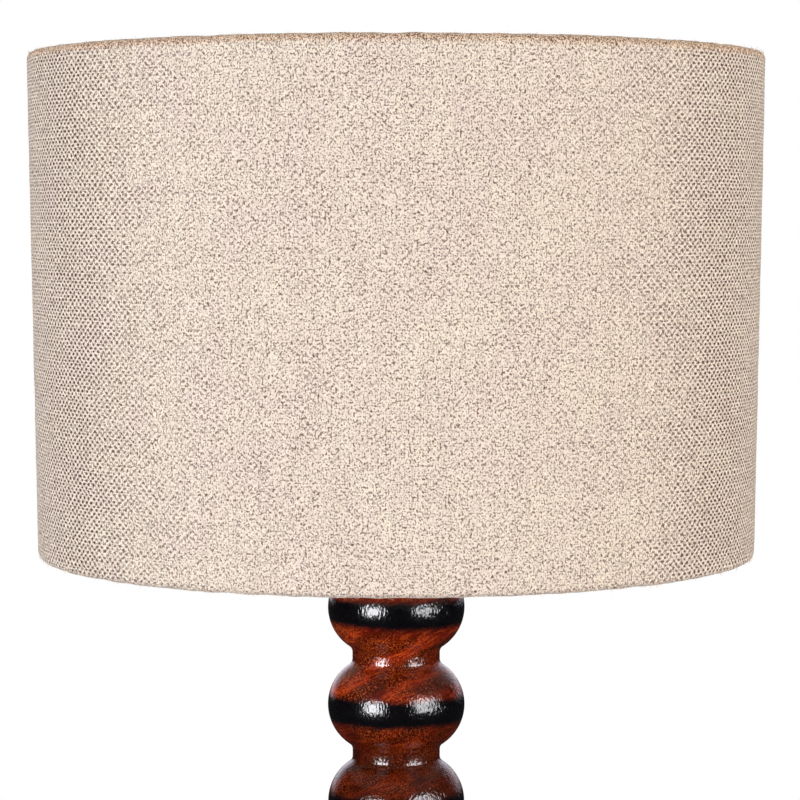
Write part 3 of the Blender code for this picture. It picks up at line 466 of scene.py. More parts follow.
def lacquered_wood(name, bands, gloss=0.15):
    """Red-brown wood under a stain, with short amber flecks that are both figure and painted sheen,
    soft black bands and a gloss coat; it is painted darker towards the bottom and on its +X side,
    and in the necks with stain and painted shade together.
    """
    coat = {"Coat_Weight": 1.0, "Coat_Roughness": gloss, "Coat_IOR": 1.35}
    g, place = new_material(name, Specular_IOR_Level=0.0, **coat)
    x, y, z = g.split(place)
    wave = g.noise(place, 30.0, 2.0, 0.5)
    lean = g.plus(g.times(x, -0.42), g.times(y, 0.16))
    figure = g.plus(g.plus(z, lean), g.times(wave, 0.012))
    along = g.join(g.times(x, 0.20), g.times(y, 0.20), figure)
    streak = g.noise(along, 900.0, 3.0, 0.6, 0.15)
    fleck = g.noise(g.stretch(along, (4.0, 4.0, 1.0)), 2100.0, 2.0, 0.6, 0.2)
    cloud = g.noise(along, 150.0, 3.0, 0.55, 0.5)
    tone = g.noise(place, 46.0, 2.0, 0.5)
    pores = g.noise(g.stretch(along, (2.5, 2.5, 1.0)), 2900.0, 2.0, 0.6)

    deep = (0.060, 0.0035, 0.0005)
    red = (0.275, 0.0118, 0.0012)
    stain = (0.020, 0.0034, 0.0012)
    amber = (0.84, 0.150, 0.024)
    colour = g.mix(g.smooth(cloud, 0.36, 0.62), deep, red)
    colour = g.mix(g.times(g.smooth(tone, 0.46, 0.66), 0.55), colour, g.mix(0.5, colour, deep))
    colour = g.mix(g.times(g.smooth(streak, 0.50, 0.36), 0.75), colour, deep)
    # The amber streaks and flecks are the wood's figure and also a painted sheen, its chatoyant
    # glint painted into the colour; the flecks are kept faint where the wood is painted darker.
    amber_streaks_and_sheen = g.times(g.smooth(streak, 0.48, 0.66), g.smooth(cloud, 0.38, 0.60))
    colour = g.mix(g.times(amber_streaks_and_sheen, 0.34), colour, amber)
    # The wood is darkened towards the stain colour on its +X side and towards the bottom of the
    # stem; in the necks this is stain and painted shade together.
    side = g.smooth(x, 2.0 * MM, 20.0 * MM)
    darker_below = g.smooth(z, TOP_BEAD - 14 * MM, TOP_BEAD - 75 * MM)
    stain_and_shade_share = g.times(darker_below, g.scaled(neck_stain_and_shade(g, z), 0.24, 0.74))
    colour = g.mix(g.scaled(side, g.minus(0.50, g.times(stain_and_shade_share, 0.50)), stain_and_shade_share), colour, stain)
    # Amber flecks: figure and painted sheen together.
    amber_flecks_and_sheen = g.times(g.smooth(fleck, 0.52, 0.62), g.smooth(tone, 0.66, 0.44))
    amber_flecks_and_sheen = g.times(amber_flecks_and_sheen, g.number(g.math("MAXIMUM", stain_and_shade_share, side), 0.72, 0.12))
    colour = g.mix(amber_flecks_and_sheen, colour, amber)
    colour = g.mix(g.times(g.smooth(pores, 0.56, 0.70), 0.65), colour, (0.012, 0.0030, 0.0015))

    smear = g.scaled(g.noise(along, 110.0, 3.0, 0.6), 5.0 * MM, -2.5 * MM)
    band = bands(g, g.plus(z, smear))
    worn = g.times(band, g.number(g.smooth(fleck, 0.60, 0.74), 1.0, 0.93))
    colour = g.mix(worn, colour, (0.0022, 0.0024, 0.0036))

    brushed = g.noise(g.stretch(place, (1.0, 1.0, 0.45)), 1150.0, 1.0, 0.5)
    ripple = g.noise(place, 260.0, 2.0, 0.5)
    coat = g.bump(ripple, 0.12 * MM, 0.5)
    coat = g.bump(brushed, 0.30 * MM, g.number(side, 0.50, 1.0), coat)
    g.link(coat, g.shader.inputs["Coat Normal"])
    grain = g.bump(g.plus(fleck, pores), 0.04 * MM, 0.4)
    return g.finish(colour, g.number(streak, 0.35, 0.55), grain)


def bare_wood():
    """Unfinished end grain and the base's underside."""
    rings = ((1.0, 0.12, 1.0), 420.0, 4.0, 0.6, 0.8)
    pores = ((1.0, 0.2, 1.0), 2200.0, 2.0)
    colours = (0.20, 0.085, 0.035), (0.42, 0.22, 0.10)
    spots = (0.58, 0.70, 0.6, (0.08, 0.03, 0.015))
    look = (rings, pores, (0.35, 0.65), colours, (0.6, 0.75), (0.08, 0.5), spots)
    return mottled("bare_wood", *look)


# The other materials.


def worn_metal(name, base, stain, roughness, scratch_scale=2200.0):
    """Metal with fine scratches and a slow stain over it."""
    g, place = new_material(name, Metallic=1.0)
    scratches = g.noise(g.stretch(place, (1.0, 1.0, 0.08)), scratch_scale, 3.0, 0.6)
    spots = g.noise(place, 130.0, 4.0, 0.65)
    colour = g.mix(g.times(g.smooth(spots, 0.45, 0.72), 0.6), base, stain)
    gloss = g.number(g.smooth(spots, 0.40, 0.70), roughness, roughness + 0.16)
    gloss = g.scaled(scratches, 0.10, g.minus(gloss, 0.05))
    return g.finish(colour, gloss, g.bump(scratches, 0.02 * MM, 0.35))


def powder_coat():
    """White powder coat on steel wire: an orange-peel skin, a little grubby in places."""
    grime, peel = (EVEN, 60.0, 4.0, 0.6), (EVEN, 1300.0, 2.0, 0.5)
    colours = (0.80, 0.79, 0.76), (0.62, 0.58, 0.52)
    look = (grime, peel, (0.50, 0.80), colours, (0.38, 0.55), (0.06, 0.5))
    return mottled("white_painted_steel", *look, Coat_Weight=0.3, Coat_Roughness=0.2)


def black_phenolic():
    """Moulded black phenolic with faint flow marks and specks of dust."""
    flow, dust = ((1.0, 1.0, 0.35), 210.0, 3.0, 0.6, 1.5), (EVEN, 900.0, 3.0, 0.7)
    colours = (0.012, 0.011, 0.010), (0.030, 0.025, 0.021)
    spots = (0.60, 0.80, 0.25, (0.10, 0.09, 0.08))
    look = (flow, dust, (0.45, 0.75), colours, (0.28, 0.44), (0.02, 0.4), spots)
    return mottled("black_phenolic", *look, Coat_Weight=0.25, Coat_Roughness=0.15)


def moulded_plastic(name, colours, grain_scale, translucent=0.0):
    """A pale moulded plastic with a fine spark-eroded grain, which also makes it dull."""
    cast, grain = (EVEN, 48.0, 2.0), (EVEN, grain_scale, 2.0, 0.6)
    look = (cast, grain, (0.35, 0.75), colours, (0.36, 0.52), (0.03, 0.4), None, 1)
    return mottled(name, *look, Subsurface_Weight=translucent, Subsurface_Scale=4.0 * MM)


def styrene_liner():
    """Ivory sheet with the cloth's weave just telegraphing through it."""
    g, place = new_material("styrene_liner", Subsurface_Weight=0.1)
    x, y, z = g.split(place)
    turn = g.times(g.math("ARCTAN2", y, x), SHADE_RADIUS / WARP_PITCH)
    around = g.math("SINE", g.times(turn, 3.0))
    rows = g.math("SINE", g.times(z, TURN / WEFT_PITCH))
    telegraph = g.times(around, rows)
    slow = g.noise(place, 30.0, 3.0)
    colour = g.mix(g.smooth(slow, 0.3, 0.7), (0.86, 0.83, 0.76), (0.90, 0.88, 0.82))
    normal = g.bump(telegraph, 0.02 * MM, 0.25, g.bump(slow, 0.6 * MM, 0.3))
    return g.finish(colour, g.number(slow, 0.36, 0.50), normal)


def white_ceramic():
    specks, pool = (EVEN, 1500.0, 2.0, 0.7), (EVEN, 120.0, 2.0)
    colours = (0.80, 0.79, 0.75), (0.48, 0.42, 0.34)
    look = (specks, pool, (0.66, 0.76), colours, (0.22, 0.38), (0.05, 0.4), None, 1)
    return mottled("white_ceramic", *look, Coat_Weight=0.6, Coat_Roughness=0.08)


def black_glass():
    pool = (EVEN, 260.0, 3.0)
    colours = (0.006, 0.006, 0.009), (0.020, 0.018, 0.024)
    look = (pool, pool, None, colours, (0.06, 0.18), (0.06, 0.4))
    return mottled("black_glass", *look, Coat_Weight=0.5)


def black_rubber():
    """Matt rubber with a bloom and small moulding pits."""
    bloom, pits = (EVEN, 90.0, 4.0, 0.6), (EVEN, 1900.0, 2.0, 0.7)
    colours = (0.017, 0.017, 0.017), (0.060, 0.057, 0.054)
    return mottled("black_rubber", bloom, pits, (0.4, 0.75), colours, (0.62, 0.82), (0.05, 0.6))


# Building meshes.


def mesh_object(name, points, faces):
    """A smooth-shaded object from points and faces, with shared corners merged."""
    mesh = bpy.data.meshes.new(name)
    mesh.from_pydata(points.tolist(), [], faces.tolist())
    return tidy_mesh(new_object(name, mesh))


def soften(mesh, sharp=40):
    """Smooth shading, with a crease where faces meet at more than sharp degrees."""
    mesh.shade_smooth()
    mesh.set_sharp_from_angle(angle=math.radians(sharp))


def from_bmesh(name, work):
    mesh = bpy.data.meshes.new(name)
    work.to_mesh(mesh)
    work.free()
    return new_object(name, mesh)


def tidy_mesh(obj):
    work = bmesh.new()
    work.from_mesh(obj.data)
    bmesh.ops.remove_doubles(work, verts=work.verts, dist=0.001 * MM)
    bmesh.ops.recalc_face_normals(work, faces=work.faces)
    work.to_mesh(obj.data)
    work.free()
    soften(obj.data)
    return obj


def grid(name, points, wrap_around=True, wrap_along=True):
    """A surface of quads over an array of points (around, along, 3)."""
    around, along = points.shape[:2]
    index = np.arange(around * along).reshape(around, along)
    if wrap_around:
        index = np.vstack([index, index[:1]])
    if wrap_along:
        index = np.hstack([index, index[:, :1]])
    corners = [index[:-1, :-1], index[1:, :-1], index[1:, 1:], index[:-1, 1:]]
    return mesh_object(name, points.reshape(-1, 3), np.stack(corners, -1).reshape(-1, 4))


def lathe(name, outline, steps=96, shape=None):
    """A section (r, z) turned about Z. shape may change r from the angle, r and z."""
    section = np.array(outline, float)
    angle = (np.arange(steps) * TURN / steps)[:, None] + np.zeros(len(section))
    r = section[:, 0] + np.zeros((steps, 1))
    z = section[:, 1] + np.zeros((steps, 1))
    if shape:
        r = shape(angle, r, z)
    return grid(name, np.stack([r * np.cos(angle), r * np.sin(angle), z], -1))


def rounded(corners, steps=4, closed=True):
    """A section or path through corners (r, z, rounding), with the rounding in mm."""
    outline = []
    last = len(corners) - 1
    for i, (x, y, radius) in enumerate(corners):
        here = Vector((x, y))
        if radius <= 0 or (not closed and i in (0, last)):
            outline.append((x, y))
            continue
        back = Vector(corners[i - 1][:2]) - here
        ahead = Vector(corners[(i + 1) % len(corners)][:2]) - here
        reach = radius * MM / math.tan(back.angle(ahead) / 2)
        reach = min(reach, 0.49 * back.length, 0.49 * ahead.length)
        start = here + back.normalized() * reach
        end = here + ahead.normalized() * reach
        for k in range(steps + 1):
            t = k / steps
            point = start * (1 - t) ** 2 + here * (2 * t * (1 - t)) + end * t**2
            outline.append((point.x, point.y))
    return outline


def dense(outline, step):
    """The closed outline with no side longer than step, in mm."""
    finer = []
    for (r, z), (r_next, z_next) in zip(outline, outline[1:] + outline[:1]):
        count = max(1, math.ceil(math.hypot(r_next - r, z_next - z) / (step * MM)))
        for k in range(count):
            finer.append((r + (r_next - r) * k / count, z + (z_next - z) * k / count))
    return finer


def arc(centre, radius, start, end, steps):
    """Points (r, z) along an arc about centre, with angles in degrees from outward."""
    angles = np.radians(np.linspace(start, end, steps + 1))
    return [(centre[0] + radius * math.cos(a), centre[1] + radius * math.sin(a)) for a in angles]


def tube(name, path, radius, sides=14):
    """A round rod along a path of points, with domed ends."""
    path = [Vector(p) for p in path]
    rings = []
    dome = 5
    for end, step in ((0, 1), (-1, -1)):
        inward = (path[end + step] - path[end]).normalized()
        turns = [math.pi / 2 * k / dome for k in range(dome)]
        caps = [
            (path[end] + inward * radius * (1 - math.sin(t)), radius * math.cos(t)) for t in turns
        ]
        rings.append(caps[::-1])
    spine = rings[0] + [(p, radius) for p in path[1:-1]] + rings[1][::-1]
    points = []
    for i, (centre, size) in enumerate(spine):
        ahead = spine[min(i + 1, len(spine) - 1)][0] - spine[max(i - 1, 0)][0]
        side = ahead.cross(Vector((0, 0, 1))).normalized()
        upward = side.cross(ahead).normalized()
        turns = [TURN * k / sides for k in range(sides)]
        points.append(
            [centre + side * size * math.cos(t) + upward * size * math.sin(t) for t in turns]
        )
    rings = np.array(points, float)
    first, last = (np.repeat(ring.mean(0)[None, None], sides, 1) for ring in (rings[0], rings[-1]))
    return grid(name, np.concatenate([first, rings, last]), wrap_around=False)


def lump(centre, size, seed):
    """A small rough blob, such as a weld."""
    work = bmesh.new()
    bmesh.ops.create_icosphere(work, subdivisions=3, radius=1.0)
    for vert in work.verts:
        rough = 1 + 0.22 * noise.noise(vert.co * 1.6 + Vector((seed, 0, 0)))
        vert.co = Vector(centre) + Vector([c * s * rough for c, s in zip(vert.co, size)])
    return from_bmesh("lump", work)


def joined(name, parts):
    """Several objects' meshes in one new object."""
    work = bmesh.new()
    for part in parts:
        part.data.transform(part.matrix_world)
        work.from_mesh(part.data)
        bpy.data.objects.remove(part)
    return tidy_mesh(from_bmesh(name, work))


def moved(obj, offset=(0, 0, 0), about_x=0.0, about_y=0.0, about_z=0.0):
    """Turns an object's mesh and then shifts it, leaving the object at the origin."""
    turn = Euler((about_x, about_y, about_z)).to_matrix().to_4x4()
    obj.data.transform(Matrix.Translation(offset) @ turn)
    return obj


def slot_name(material):
    """The material's name without the number Blender adds to a name the frame uses too."""
    return material.name.split(".")[0]


def fit(obj, material, body, *nodes, slot=None):
    """Gives a piece its material, hangs it on a body and lets it stand for CAD nodes."""
    if material:
        obj.data.materials.append(material)
    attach(obj, body)
    if nodes:
        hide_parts(*nodes)
        slot or slot_name(material)
    return obj


# The drum's cloth.


def cloth_line():
    """The cloth's middle line (r, z), from under the lower hoop up to inside the upper one."""
    lower = arc(LOW_HOOP, ROLL_RADIUS, -TUCK, 0, 15)
    upper = arc(HIGH_HOOP, ROLL_RADIUS, 0, TUCK, 15)
    shares = np.linspace(0, 1, 38)[1:-1, None]
    wall = np.array(lower[-1]) * (1 - shares) + np.array(upper[0]) * shares
    return np.vstack([lower, wall, upper])


def lap_offset(angle, end):
    """How far the cloth stands off where its end laps over its beginning."""
    rise = 5.0 * MM / SHADE_RADIUS
    lap = LAP / SHADE_RADIUS
    share = ramp(angle - (end - lap - rise), rise)
    return LAP_LIFT * share * share * (3 - 2 * share)


def drum_cloth():
    line = cloth_line()
    slope = np.gradient(line, axis=0)
    slope /= np.linalg.norm(slope, axis=1)[:, None]
    normal = np.stack([slope[:, 1], -slope[:, 0]], -1)
    run = np.concatenate([[0], np.cumsum(np.linalg.norm(np.diff(line, axis=0), axis=1))])
    half_lap = LAP / SHADE_RADIUS / 2
    start = REAR - half_lap
    end = REAR + TURN + half_lap
    columns = 480
    bumps_around, bumps_along = 26, 90
    angles = np.linspace(start, end, columns + 1)
    wall_half = (SHADE_TOP - SHADE_BOTTOM) / 2 - 6 * MM
    on_roll = np.abs(line[:, 1] - (SHADE_BOTTOM + SHADE_TOP) / 2) > wall_half
    sheet = np.zeros((columns + 1, 2 * len(line), 3))
    for i, angle in enumerate(angles):
        around = Vector((math.cos(angle), math.sin(angle), 0)) * bumps_around
        lift = lap_offset(angle, end)
        rough = [noise.noise(around + Vector((0, 0, s * bumps_along))) for s in run]
        wander = lift + np.array(rough) * np.where(on_roll, 0.30 * MM, 0.18 * MM)
        outer = line + normal * (wander + CLOTH_THICKNESS / 2)[:, None]
        inner = line + normal * (wander - CLOTH_THICKNESS / 2)[:, None]
        section = np.vstack([outer, inner[::-1]])
        sheet[i] = np.stack(
            [section[:, 0] * math.cos(angle), section[:, 0] * math.sin(angle), section[:, 1]], -1
        )
    cloth = grid("drum_cloth", sheet, wrap_around=False)
    close_ends(cloth, columns + 1, len(line))
    weave_map(cloth, angles, run)
    fit(cloth, woven_jute(), "shade", "shade_fabric")
    return cloth, float(run[-1])


def close_ends(cloth, columns, rows):
    """Faces across the cut edges where the sheet begins and ends."""
    work = bmesh.new()
    work.from_mesh(cloth.data)
    work.verts.ensure_lookup_table()
    for first in (0, (columns - 1) * 2 * rows):
        for k in range(rows - 1):
            ring = (k, k + 1, 2 * rows - 2 - k, 2 * rows - 1 - k)
            work.faces.new([work.verts[first + n] for n in ring])
    bmesh.ops.recalc_face_normals(work, faces=work.faces)
    work.to_mesh(cloth.data)
    work.free()
    soften(cloth.data, 60)


def weave_map(cloth, angles, run):
    """A UV map that counts yarns: warp ends round the drum, weft picks along the section."""
    u = np.repeat((angles - angles[0]) * SHADE_RADIUS / WARP_PITCH, 2 * len(run))
    v = np.tile(np.concatenate([run, run[::-1]]) / WEFT_PITCH, len(angles))
    layer = cloth.data.uv_layers.new(name=WEAVE_UV)
    corner = np.zeros(len(cloth.data.loops), int)
    cloth.data.loops.foreach_get("vertex_index", corner)
    layer.data.foreach_set("uv", np.stack([u[corner], v[corner]], -1).astype(np.float32).ravel())


def fibre_ring(centre, heading, outward, length, rng):
    """The rings of one loose fibre that leaves the cloth and curls over."""
    rings = []
    curl = rng.uniform(-1.2, 1.2)
    side = heading.cross(outward)
    for k in range(5):
        t = k / 4
        along = heading * (length * t) + outward * (length * 0.45 * t * (1.3 - t))
        along += side * (length * 0.25 * curl * t * t)
        size = FIBRE_RADIUS * (1 - 0.7 * t)
        middle = centre + along
        rings.append([middle + side * size, middle + outward * size, middle - side * size])
    return np.array(rings, float)


def shade_fibres():
    """Loose fibres on the cloth: most along its two rims, a tuft at the upper left."""
    rng = random.Random(41)
    line = cloth_line()
    upper_rim = (HIGH_HOOP[0] + ROLL_RADIUS * 0.7, SHADE_TOP - 0.9 * MM, 1.0)
    lower_rim = (LOW_HOOP[0] + ROLL_RADIUS * 0.7, SHADE_BOTTOM + 0.9 * MM, -1.0)
    edges = [(3 * k + a, 3 * k + b) for k in range(4) for a, b in ((0, 1), (1, 2), (2, 0))]
    shell = [(a, b, b + 3, a + 3) for a, b in edges] + [(0, 2, 1), (12, 13, 14)]
    points, faces = [], []
    for i in range(FIBRES):
        angle = rng.uniform(0, TURN)
        share = rng.random()
        if share < UPPER_SHARE:
            r, z, up = upper_rim
        elif share < UPPER_SHARE + LOWER_SHARE:
            r, z, up = lower_rim
        else:
            r, z = line[rng.randrange(18, len(line) - 18)]
            up = 0.0
        if i < TUFT:
            angle = math.pi + rng.uniform(-0.03, 0.03)
            r, z, up = upper_rim
        away = Vector((math.cos(angle), math.sin(angle), 0.9 * up)).normalized()
        tangent = Vector((-math.sin(angle), math.cos(angle), rng.uniform(-0.8, 0.8))).normalized()
        tangent *= rng.choice((-1, 1))
        centre = Vector((r * math.cos(angle), r * math.sin(angle), z)) + away * (0.3 * MM)
        rings = fibre_ring(centre, tangent, away, rng.uniform(0.8, 2.6) * MM, rng)
        points.append(rings.reshape(-1, 3))
        faces += [[15 * i + corner for corner in face] for face in shell]
    mesh = bpy.data.meshes.new("shade_fibres")
    mesh.from_pydata(np.vstack(points).tolist(), [], faces)
    fit(new_object("shade_fibres", mesh), loose_fibre(), "shade")


# The drum's liner, hoops and carrier.


def ring_section(node, rim, bore_rim):
    """A flat ring's section, with its outer and inner edges rounded by rim and bore_rim in mm."""
    low, high, wide = extent(node)
    bore = inner_radius(node)
    return [(wide, high, rim), (wide, low, rim), (bore, low, bore_rim), (bore, high, bore_rim)]


def drum_liner():
    low, high, _ = extent("shade_liner")
    wide = outer_radius("shade_liner", high - MM)
    narrow = outer_radius("shade_liner", low - MM, low + MM)
    thick = 0.5 * MM
    corners = [(wide, high, 0.2), (narrow, low, 0.2)]
    corners += [(narrow - thick, low, 0.2), (wide - thick, high, 0.2)]
    outline = dense(rounded(corners, 3), 12)
    fit(lathe("drum_liner", outline, 240), styrene_liner(), "shade", "shade_liner")


def hoop(name, node, place, steel, seed):
    """A wire hoop with the butt weld that closes it."""
    ring = lathe(name, arc(place, WIRE_RADIUS, 0, 337.5, 15), 288)
    weld = lump((0, place[0], place[1]), (1.9 * MM, 2.35 * MM, 2.35 * MM), seed)
    fit(joined(name, [ring, weld]), steel, "shade", node)


def carrier_arm(number, steel):
    """A wire arm, welded to the washer and to the lower hoop."""
    wire = 1.75 * MM
    level = middle_of("carrier_washer")
    start = outer_radius("carrier_washer") - 4.0 * MM
    end = LOW_HOOP[0]
    over = LOW_HOOP[1] + WIRE_RADIUS + wire
    seat = top_of("carrier_washer") + 0.9 * wire
    corners = [(start, seat, 0), (start + 10 * MM, seat, 6), (start + 20 * MM, level - 2 * MM, 12)]
    corners += [(end - 9 * MM, over + 1.6 * MM, 8), (end + 0.6 * MM, over - 0.4 * MM, 0)]
    path = rounded(corners, 7, closed=False)
    rod = tube("arm", [(r, 0, z) for r, z in path], wire)
    inner = lump((start + 3 * MM, 0, seat - 0.9 * MM), (4.2 * MM, 2.5 * MM, 1.5 * MM), number)
    outer = lump((end - 0.2 * MM, 0, over - 1.3 * MM), (2.3 * MM, 2.9 * MM, 1.6 * MM), number + 9)
    obj = joined(f"wire_arm_{number}", [rod, inner, outer])
    moved(obj, about_z=REAR + TURN * (number - 1) / 3)
    fit(obj, steel, "shade", f"carrier_arm_{number}")


def carrier_plate(steel):
    """The pressed washer in the middle of the arms."""
    outline = rounded(ring_section("carrier_washer", 0.4, 0.4), 3)
    fit(lathe("carrier_plate", outline, 144), steel, "shade", "carrier_washer")


# The lampholder.


def helix(angle, z, pitch):
    """The wave of a right-hand thread, from 0 to 1 and back in one pitch."""
    return 0.5 - 0.5 * np.cos(TURN * z / pitch - angle)


def ramp(value, length):
    """value as a share of length, kept from 0 to 1."""
    return np.clip(value / length, 0, 1)


def thread(pitch, depth, crest):
    """A shape for lathe that cuts a rounded right-hand thread below the crest radius."""

    def cut_thread(angle, r, z):
        return np.where(r > crest - 0.02 * MM, r - depth * helix(angle, z, pitch), r)

    return cut_thread


def ribs(count, depth, beyond):
    """A shape for lathe that cuts upright grip ribs where r is beyond a radius."""

    def cut_ribs(angle, r, z):
        groove = np.clip(0.5 - 0.5 * np.cos(angle * count), 0, 1) ** 2
        return np.where(r > beyond, r - depth * (1 - groove), r)

    return cut_ribs


def shade_ring(name, node, body, phenolic):
    """A threaded ring with a ribbed edge for the fingers."""
    outline = dense(rounded(ring_section(node, 0.8, 0.3), 4), 1.2)
    grip = ribs(60, 0.7 * MM, outer_radius(node) - 0.5 * MM)
    fit(lathe(name, outline, 480, grip), phenolic, body, node)


def cut_with(obj, cutter):
    """Takes the cutter's shape out of the piece and removes the cutter."""
    boolean = obj.modifiers.new("cut", "BOOLEAN")
    boolean.operation = "DIFFERENCE"
    boolean.solver = "EXACT"
    boolean.object = cutter
    graph = bpy.context.evaluated_depsgraph_get()
    mesh = bpy.data.meshes.new_from_object(obj.evaluated_get(graph))
    obj.modifiers.clear()
    obj.data = mesh
    bpy.data.objects.remove(cutter)
    soften(mesh)


def rod_cutter(radius, length, centre, about_x=0.0, about_y=0.0):
    half = length / 2
    rod = lathe("cutter", [(0, half), (radius, half), (radius, -half), (0, -half)], 48)
    return moved(rod, centre, about_x, about_y)


def holder_cup(phenolic):
    """The lampholder's lower cover, with holes for the bar and the grub screw."""
    low, high, wide = extent("holder_cap")
    inner = wide - 1.8 * MM
    hub, bore = 12.0 * MM, 5.15 * MM
    floor = low + 8.0 * MM
    waist = wide - 0.5 * MM
    corners = [(wide, high, 0.6), (wide, low + 11.6 * MM, 0.4), (waist, low + 11.2 * MM, 0.3)]
    corners += [(waist, low + 8.5 * MM, 2.4), (hub + 1.5 * MM, low + 5.6 * MM, 1.5)]
    corners += [(hub, low + 4.8 * MM, 0.8), (hub, low, 0.5), (bore, low, 0.3), (bore, floor, 0.3)]
    corners += [(inner - 1.5 * MM, floor, 1.5), (inner, floor + 2 * MM, 1.0), (inner, high, 0.2)]
    obj = lathe("holder_cup", rounded(corners, 4), 192)
    bar, screw = middle_of("switch_push_bar"), middle_of("holder_grub_screw")
    cut_with(obj, rod_cutter(3.3 * MM, 3 * wide, (0, 0, bar), about_y=math.pi / 2))
    cut_with(obj, rod_cutter(1.5 * MM, 12 * MM, (0, 12.0 * MM, screw), about_x=math.pi / 2))
    fit(obj, phenolic, "stand", "holder_cap")


def holder_tube(phenolic):
    """The threaded tube that the shade rings run on."""
    low, high, wide = extent("holder_sleeve")
    bore, lip = 16.4 * MM, wide - 1.2 * MM
    corners = [(wide, high - 3 * MM, 0), (wide, low, 0.3), (bore, low, 0.2), (bore, high, 0.6)]
    corners += [(lip, high, 0.8), (lip, high - 2.4 * MM, 0.4)]
    outline = dense(rounded(corners, 4), 0.45)
    obj = lathe("holder_tube", outline, 144, thread(3.0 * MM, 1.0 * MM, wide))
    fit(obj, phenolic, "stand", "holder_sleeve")


def thread_shell(brass):
    """The rolled brass shell that the bulb screws into."""
    low, high, _ = extent("screw_shell")
    inner, wall, depth = 13.55 * MM, 0.4 * MM, 0.8 * MM
    corners = [(inner + wall, high), (inner + wall, low), (inner, low), (inner, high)]

    def rolled(angle, r, z):
        ends = ramp(high - 1.2 * MM - z, 1.5 * MM) * ramp(z - low - 1 * MM, 1.5 * MM)
        return r + depth * helix(angle, z, BULB_THREAD) * ends

    fit(lathe("thread_shell", dense(corners, 0.5), 120, rolled), brass, "stand", "screw_shell")


def push_bar(phenolic):
    """The switch's bar, with a domed and grooved button at each end."""
    low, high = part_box("switch_push_bar")
    half = (high.x - low.x) / 2
    radius = (high.z - low.z) / 2
    corners = [(0, half, 0), (radius, half, 1.4), (radius, half - 4.6 * MM, 0.1)]
    for groove in (1, 2):
        level = half - 1.4 * MM - groove * 0.9 * MM
        corners.insert(-1, (radius, level, 0.05))
        corners.insert(-1, (radius - 0.22 * MM, level - 0.22 * MM, 0.05))
        corners.insert(-1, (radius, level - 0.44 * MM, 0.05))
    corners += [(radius - 0.25 * MM, half - 4.9 * MM, 0.1)]
    corners += [(r, -z, rounding) for r, z, rounding in reversed(corners)]
    obj = lathe("push_bar", rounded(corners, 4), 64)
    moved(obj, (0, 0, middle_of("switch_push_bar")), about_y=math.pi / 2)
    fit(obj, phenolic, "switch_bar", "switch_push_bar")


# The bulb.


def bulb_tip(nickel):
    """The solder-topped contact."""
    low, high, wide = extent("bulb_contact")
    corners = [(0, high, 0), (wide, high, 0.2), (wide, low + 0.9 * MM, 0.3)]
    corners += [(wide - 1.4 * MM, low + 0.6 * MM, 0.4), (wide - 2.2 * MM, low, 1.2), (0, low, 0)]
    fit(lathe("bulb_tip", rounded(corners, 4), 72), nickel, "bulb", "bulb_contact")


def bulb_plug():
    low, high, wide = extent("bulb_insulator")
    corners = [(0, high, 0), (wide, high, 0.2), (wide, high - 1.1 * MM, 0.5)]
    corners += [(wide - 3.4 * MM, low + 1.4 * MM, 2.5), (5.3 * MM, low, 0.6), (0, low, 0)]
    fit(lathe("bulb_plug", rounded(corners, 5), 96), black_glass(), "bulb", "bulb_insulator")


def bulb_thread(nickel):
    """The bulb's rolled screw cap."""
    low, high, wide = extent("bulb_cap")
    wall, depth = 0.6 * MM, 0.95 * MM
    corners = [(wide, high), (wide, low), (wide - wall, low), (wide - wall, high)]

    def rolled(angle, r, z):
        dip = 1 - helix(angle, z, BULB_THREAD)
        ends = ramp(high - 3.5 * MM - z, 2 * MM) * ramp(z - low - 0.5 * MM, 2 * MM)
        taper = 0.9 * MM * ramp(low + 2.2 * MM - z, 2.2 * MM) ** 2
        return np.minimum(r, r - depth * dip * ends - taper * (r > wide - 0.1 * MM))

    fit(lathe("bulb_thread", dense(corners, 0.45), 144, rolled), nickel, "bulb", "bulb_cap")


def bulb_body(plastic):
    """The bulb's flared housing, with shallow flutes up its flare and a step at its rim."""
    low, high, wide = extent("bulb_housing")
    start = top_of("bulb_cap") + 0.3 * MM
    neck, spigot = 14.1 * MM, 11.9 * MM
    corners = [(0, high, 0), (wide - 0.6 * MM, high, 0.3), (wide - 0.6 * MM, high - 0.8 * MM, 0.1)]
    corners += [(wide, high - 0.9 * MM, 0.3), (wide, high - 3.4 * MM, 0.8)]
    for i in range(1, 12):
        share = 1 - i / 12
        level = start + (high - 3.6 * MM - start) * share
        corners.append((neck + (wide - neck) * share**1.7, level, 1.5))
    corners += [(neck, start, 0.4), (spigot, start, 0.2), (spigot, low, 0.3), (0, low, 0)]

    def flutes(angle, r, z):
        rise = ramp(z - start - 4 * MM, 5 * MM) * ramp(high - 7 * MM - z, 5 * MM)
        return r - 0.5 * MM * rise * (0.5 - 0.5 * np.cos(angle * 24)) ** 3 * (r > neck - 1 * MM)

    obj = lathe("bulb_body", dense(rounded(corners, 2), 1.2), 288, flutes)
    fit(obj, plastic, "bulb", "bulb_housing")


def bulb_dome(plastic):
    """The opal globe, hollow and open below."""
    low, high, _ = extent("bulb_globe")
    radius = 30.0 * MM
    centre = (0, high - radius)
    wall = 1.5 * MM
    dip = math.degrees(math.asin((centre[1] - low) / radius))
    inner_dip = math.degrees(math.asin((centre[1] - low) / (radius - wall)))
    outline = arc(centre, radius, 90, -dip, 28) + arc(centre, radius - wall, -inner_dip, 90, 24)
    fit(lathe("bulb_dome", outline, 128), plastic, "bulb", "bulb_globe")


# The stem and the base.


def hand_turned(depth, seed):
    """A shape for lathe: the faint unevenness of work turned and rubbed down by hand."""

    def uneven(angle, r, z):
        change = np.zeros_like(r)
        for count, size, rise in ((2, 0.5, 61.0), (3, 0.3, 97.0), (5, 0.2, 143.0)):
            change += size * np.sin(count * angle + seed * count + rise * z)
        return r + depth * change * (r > 13 * MM)

    return uneven


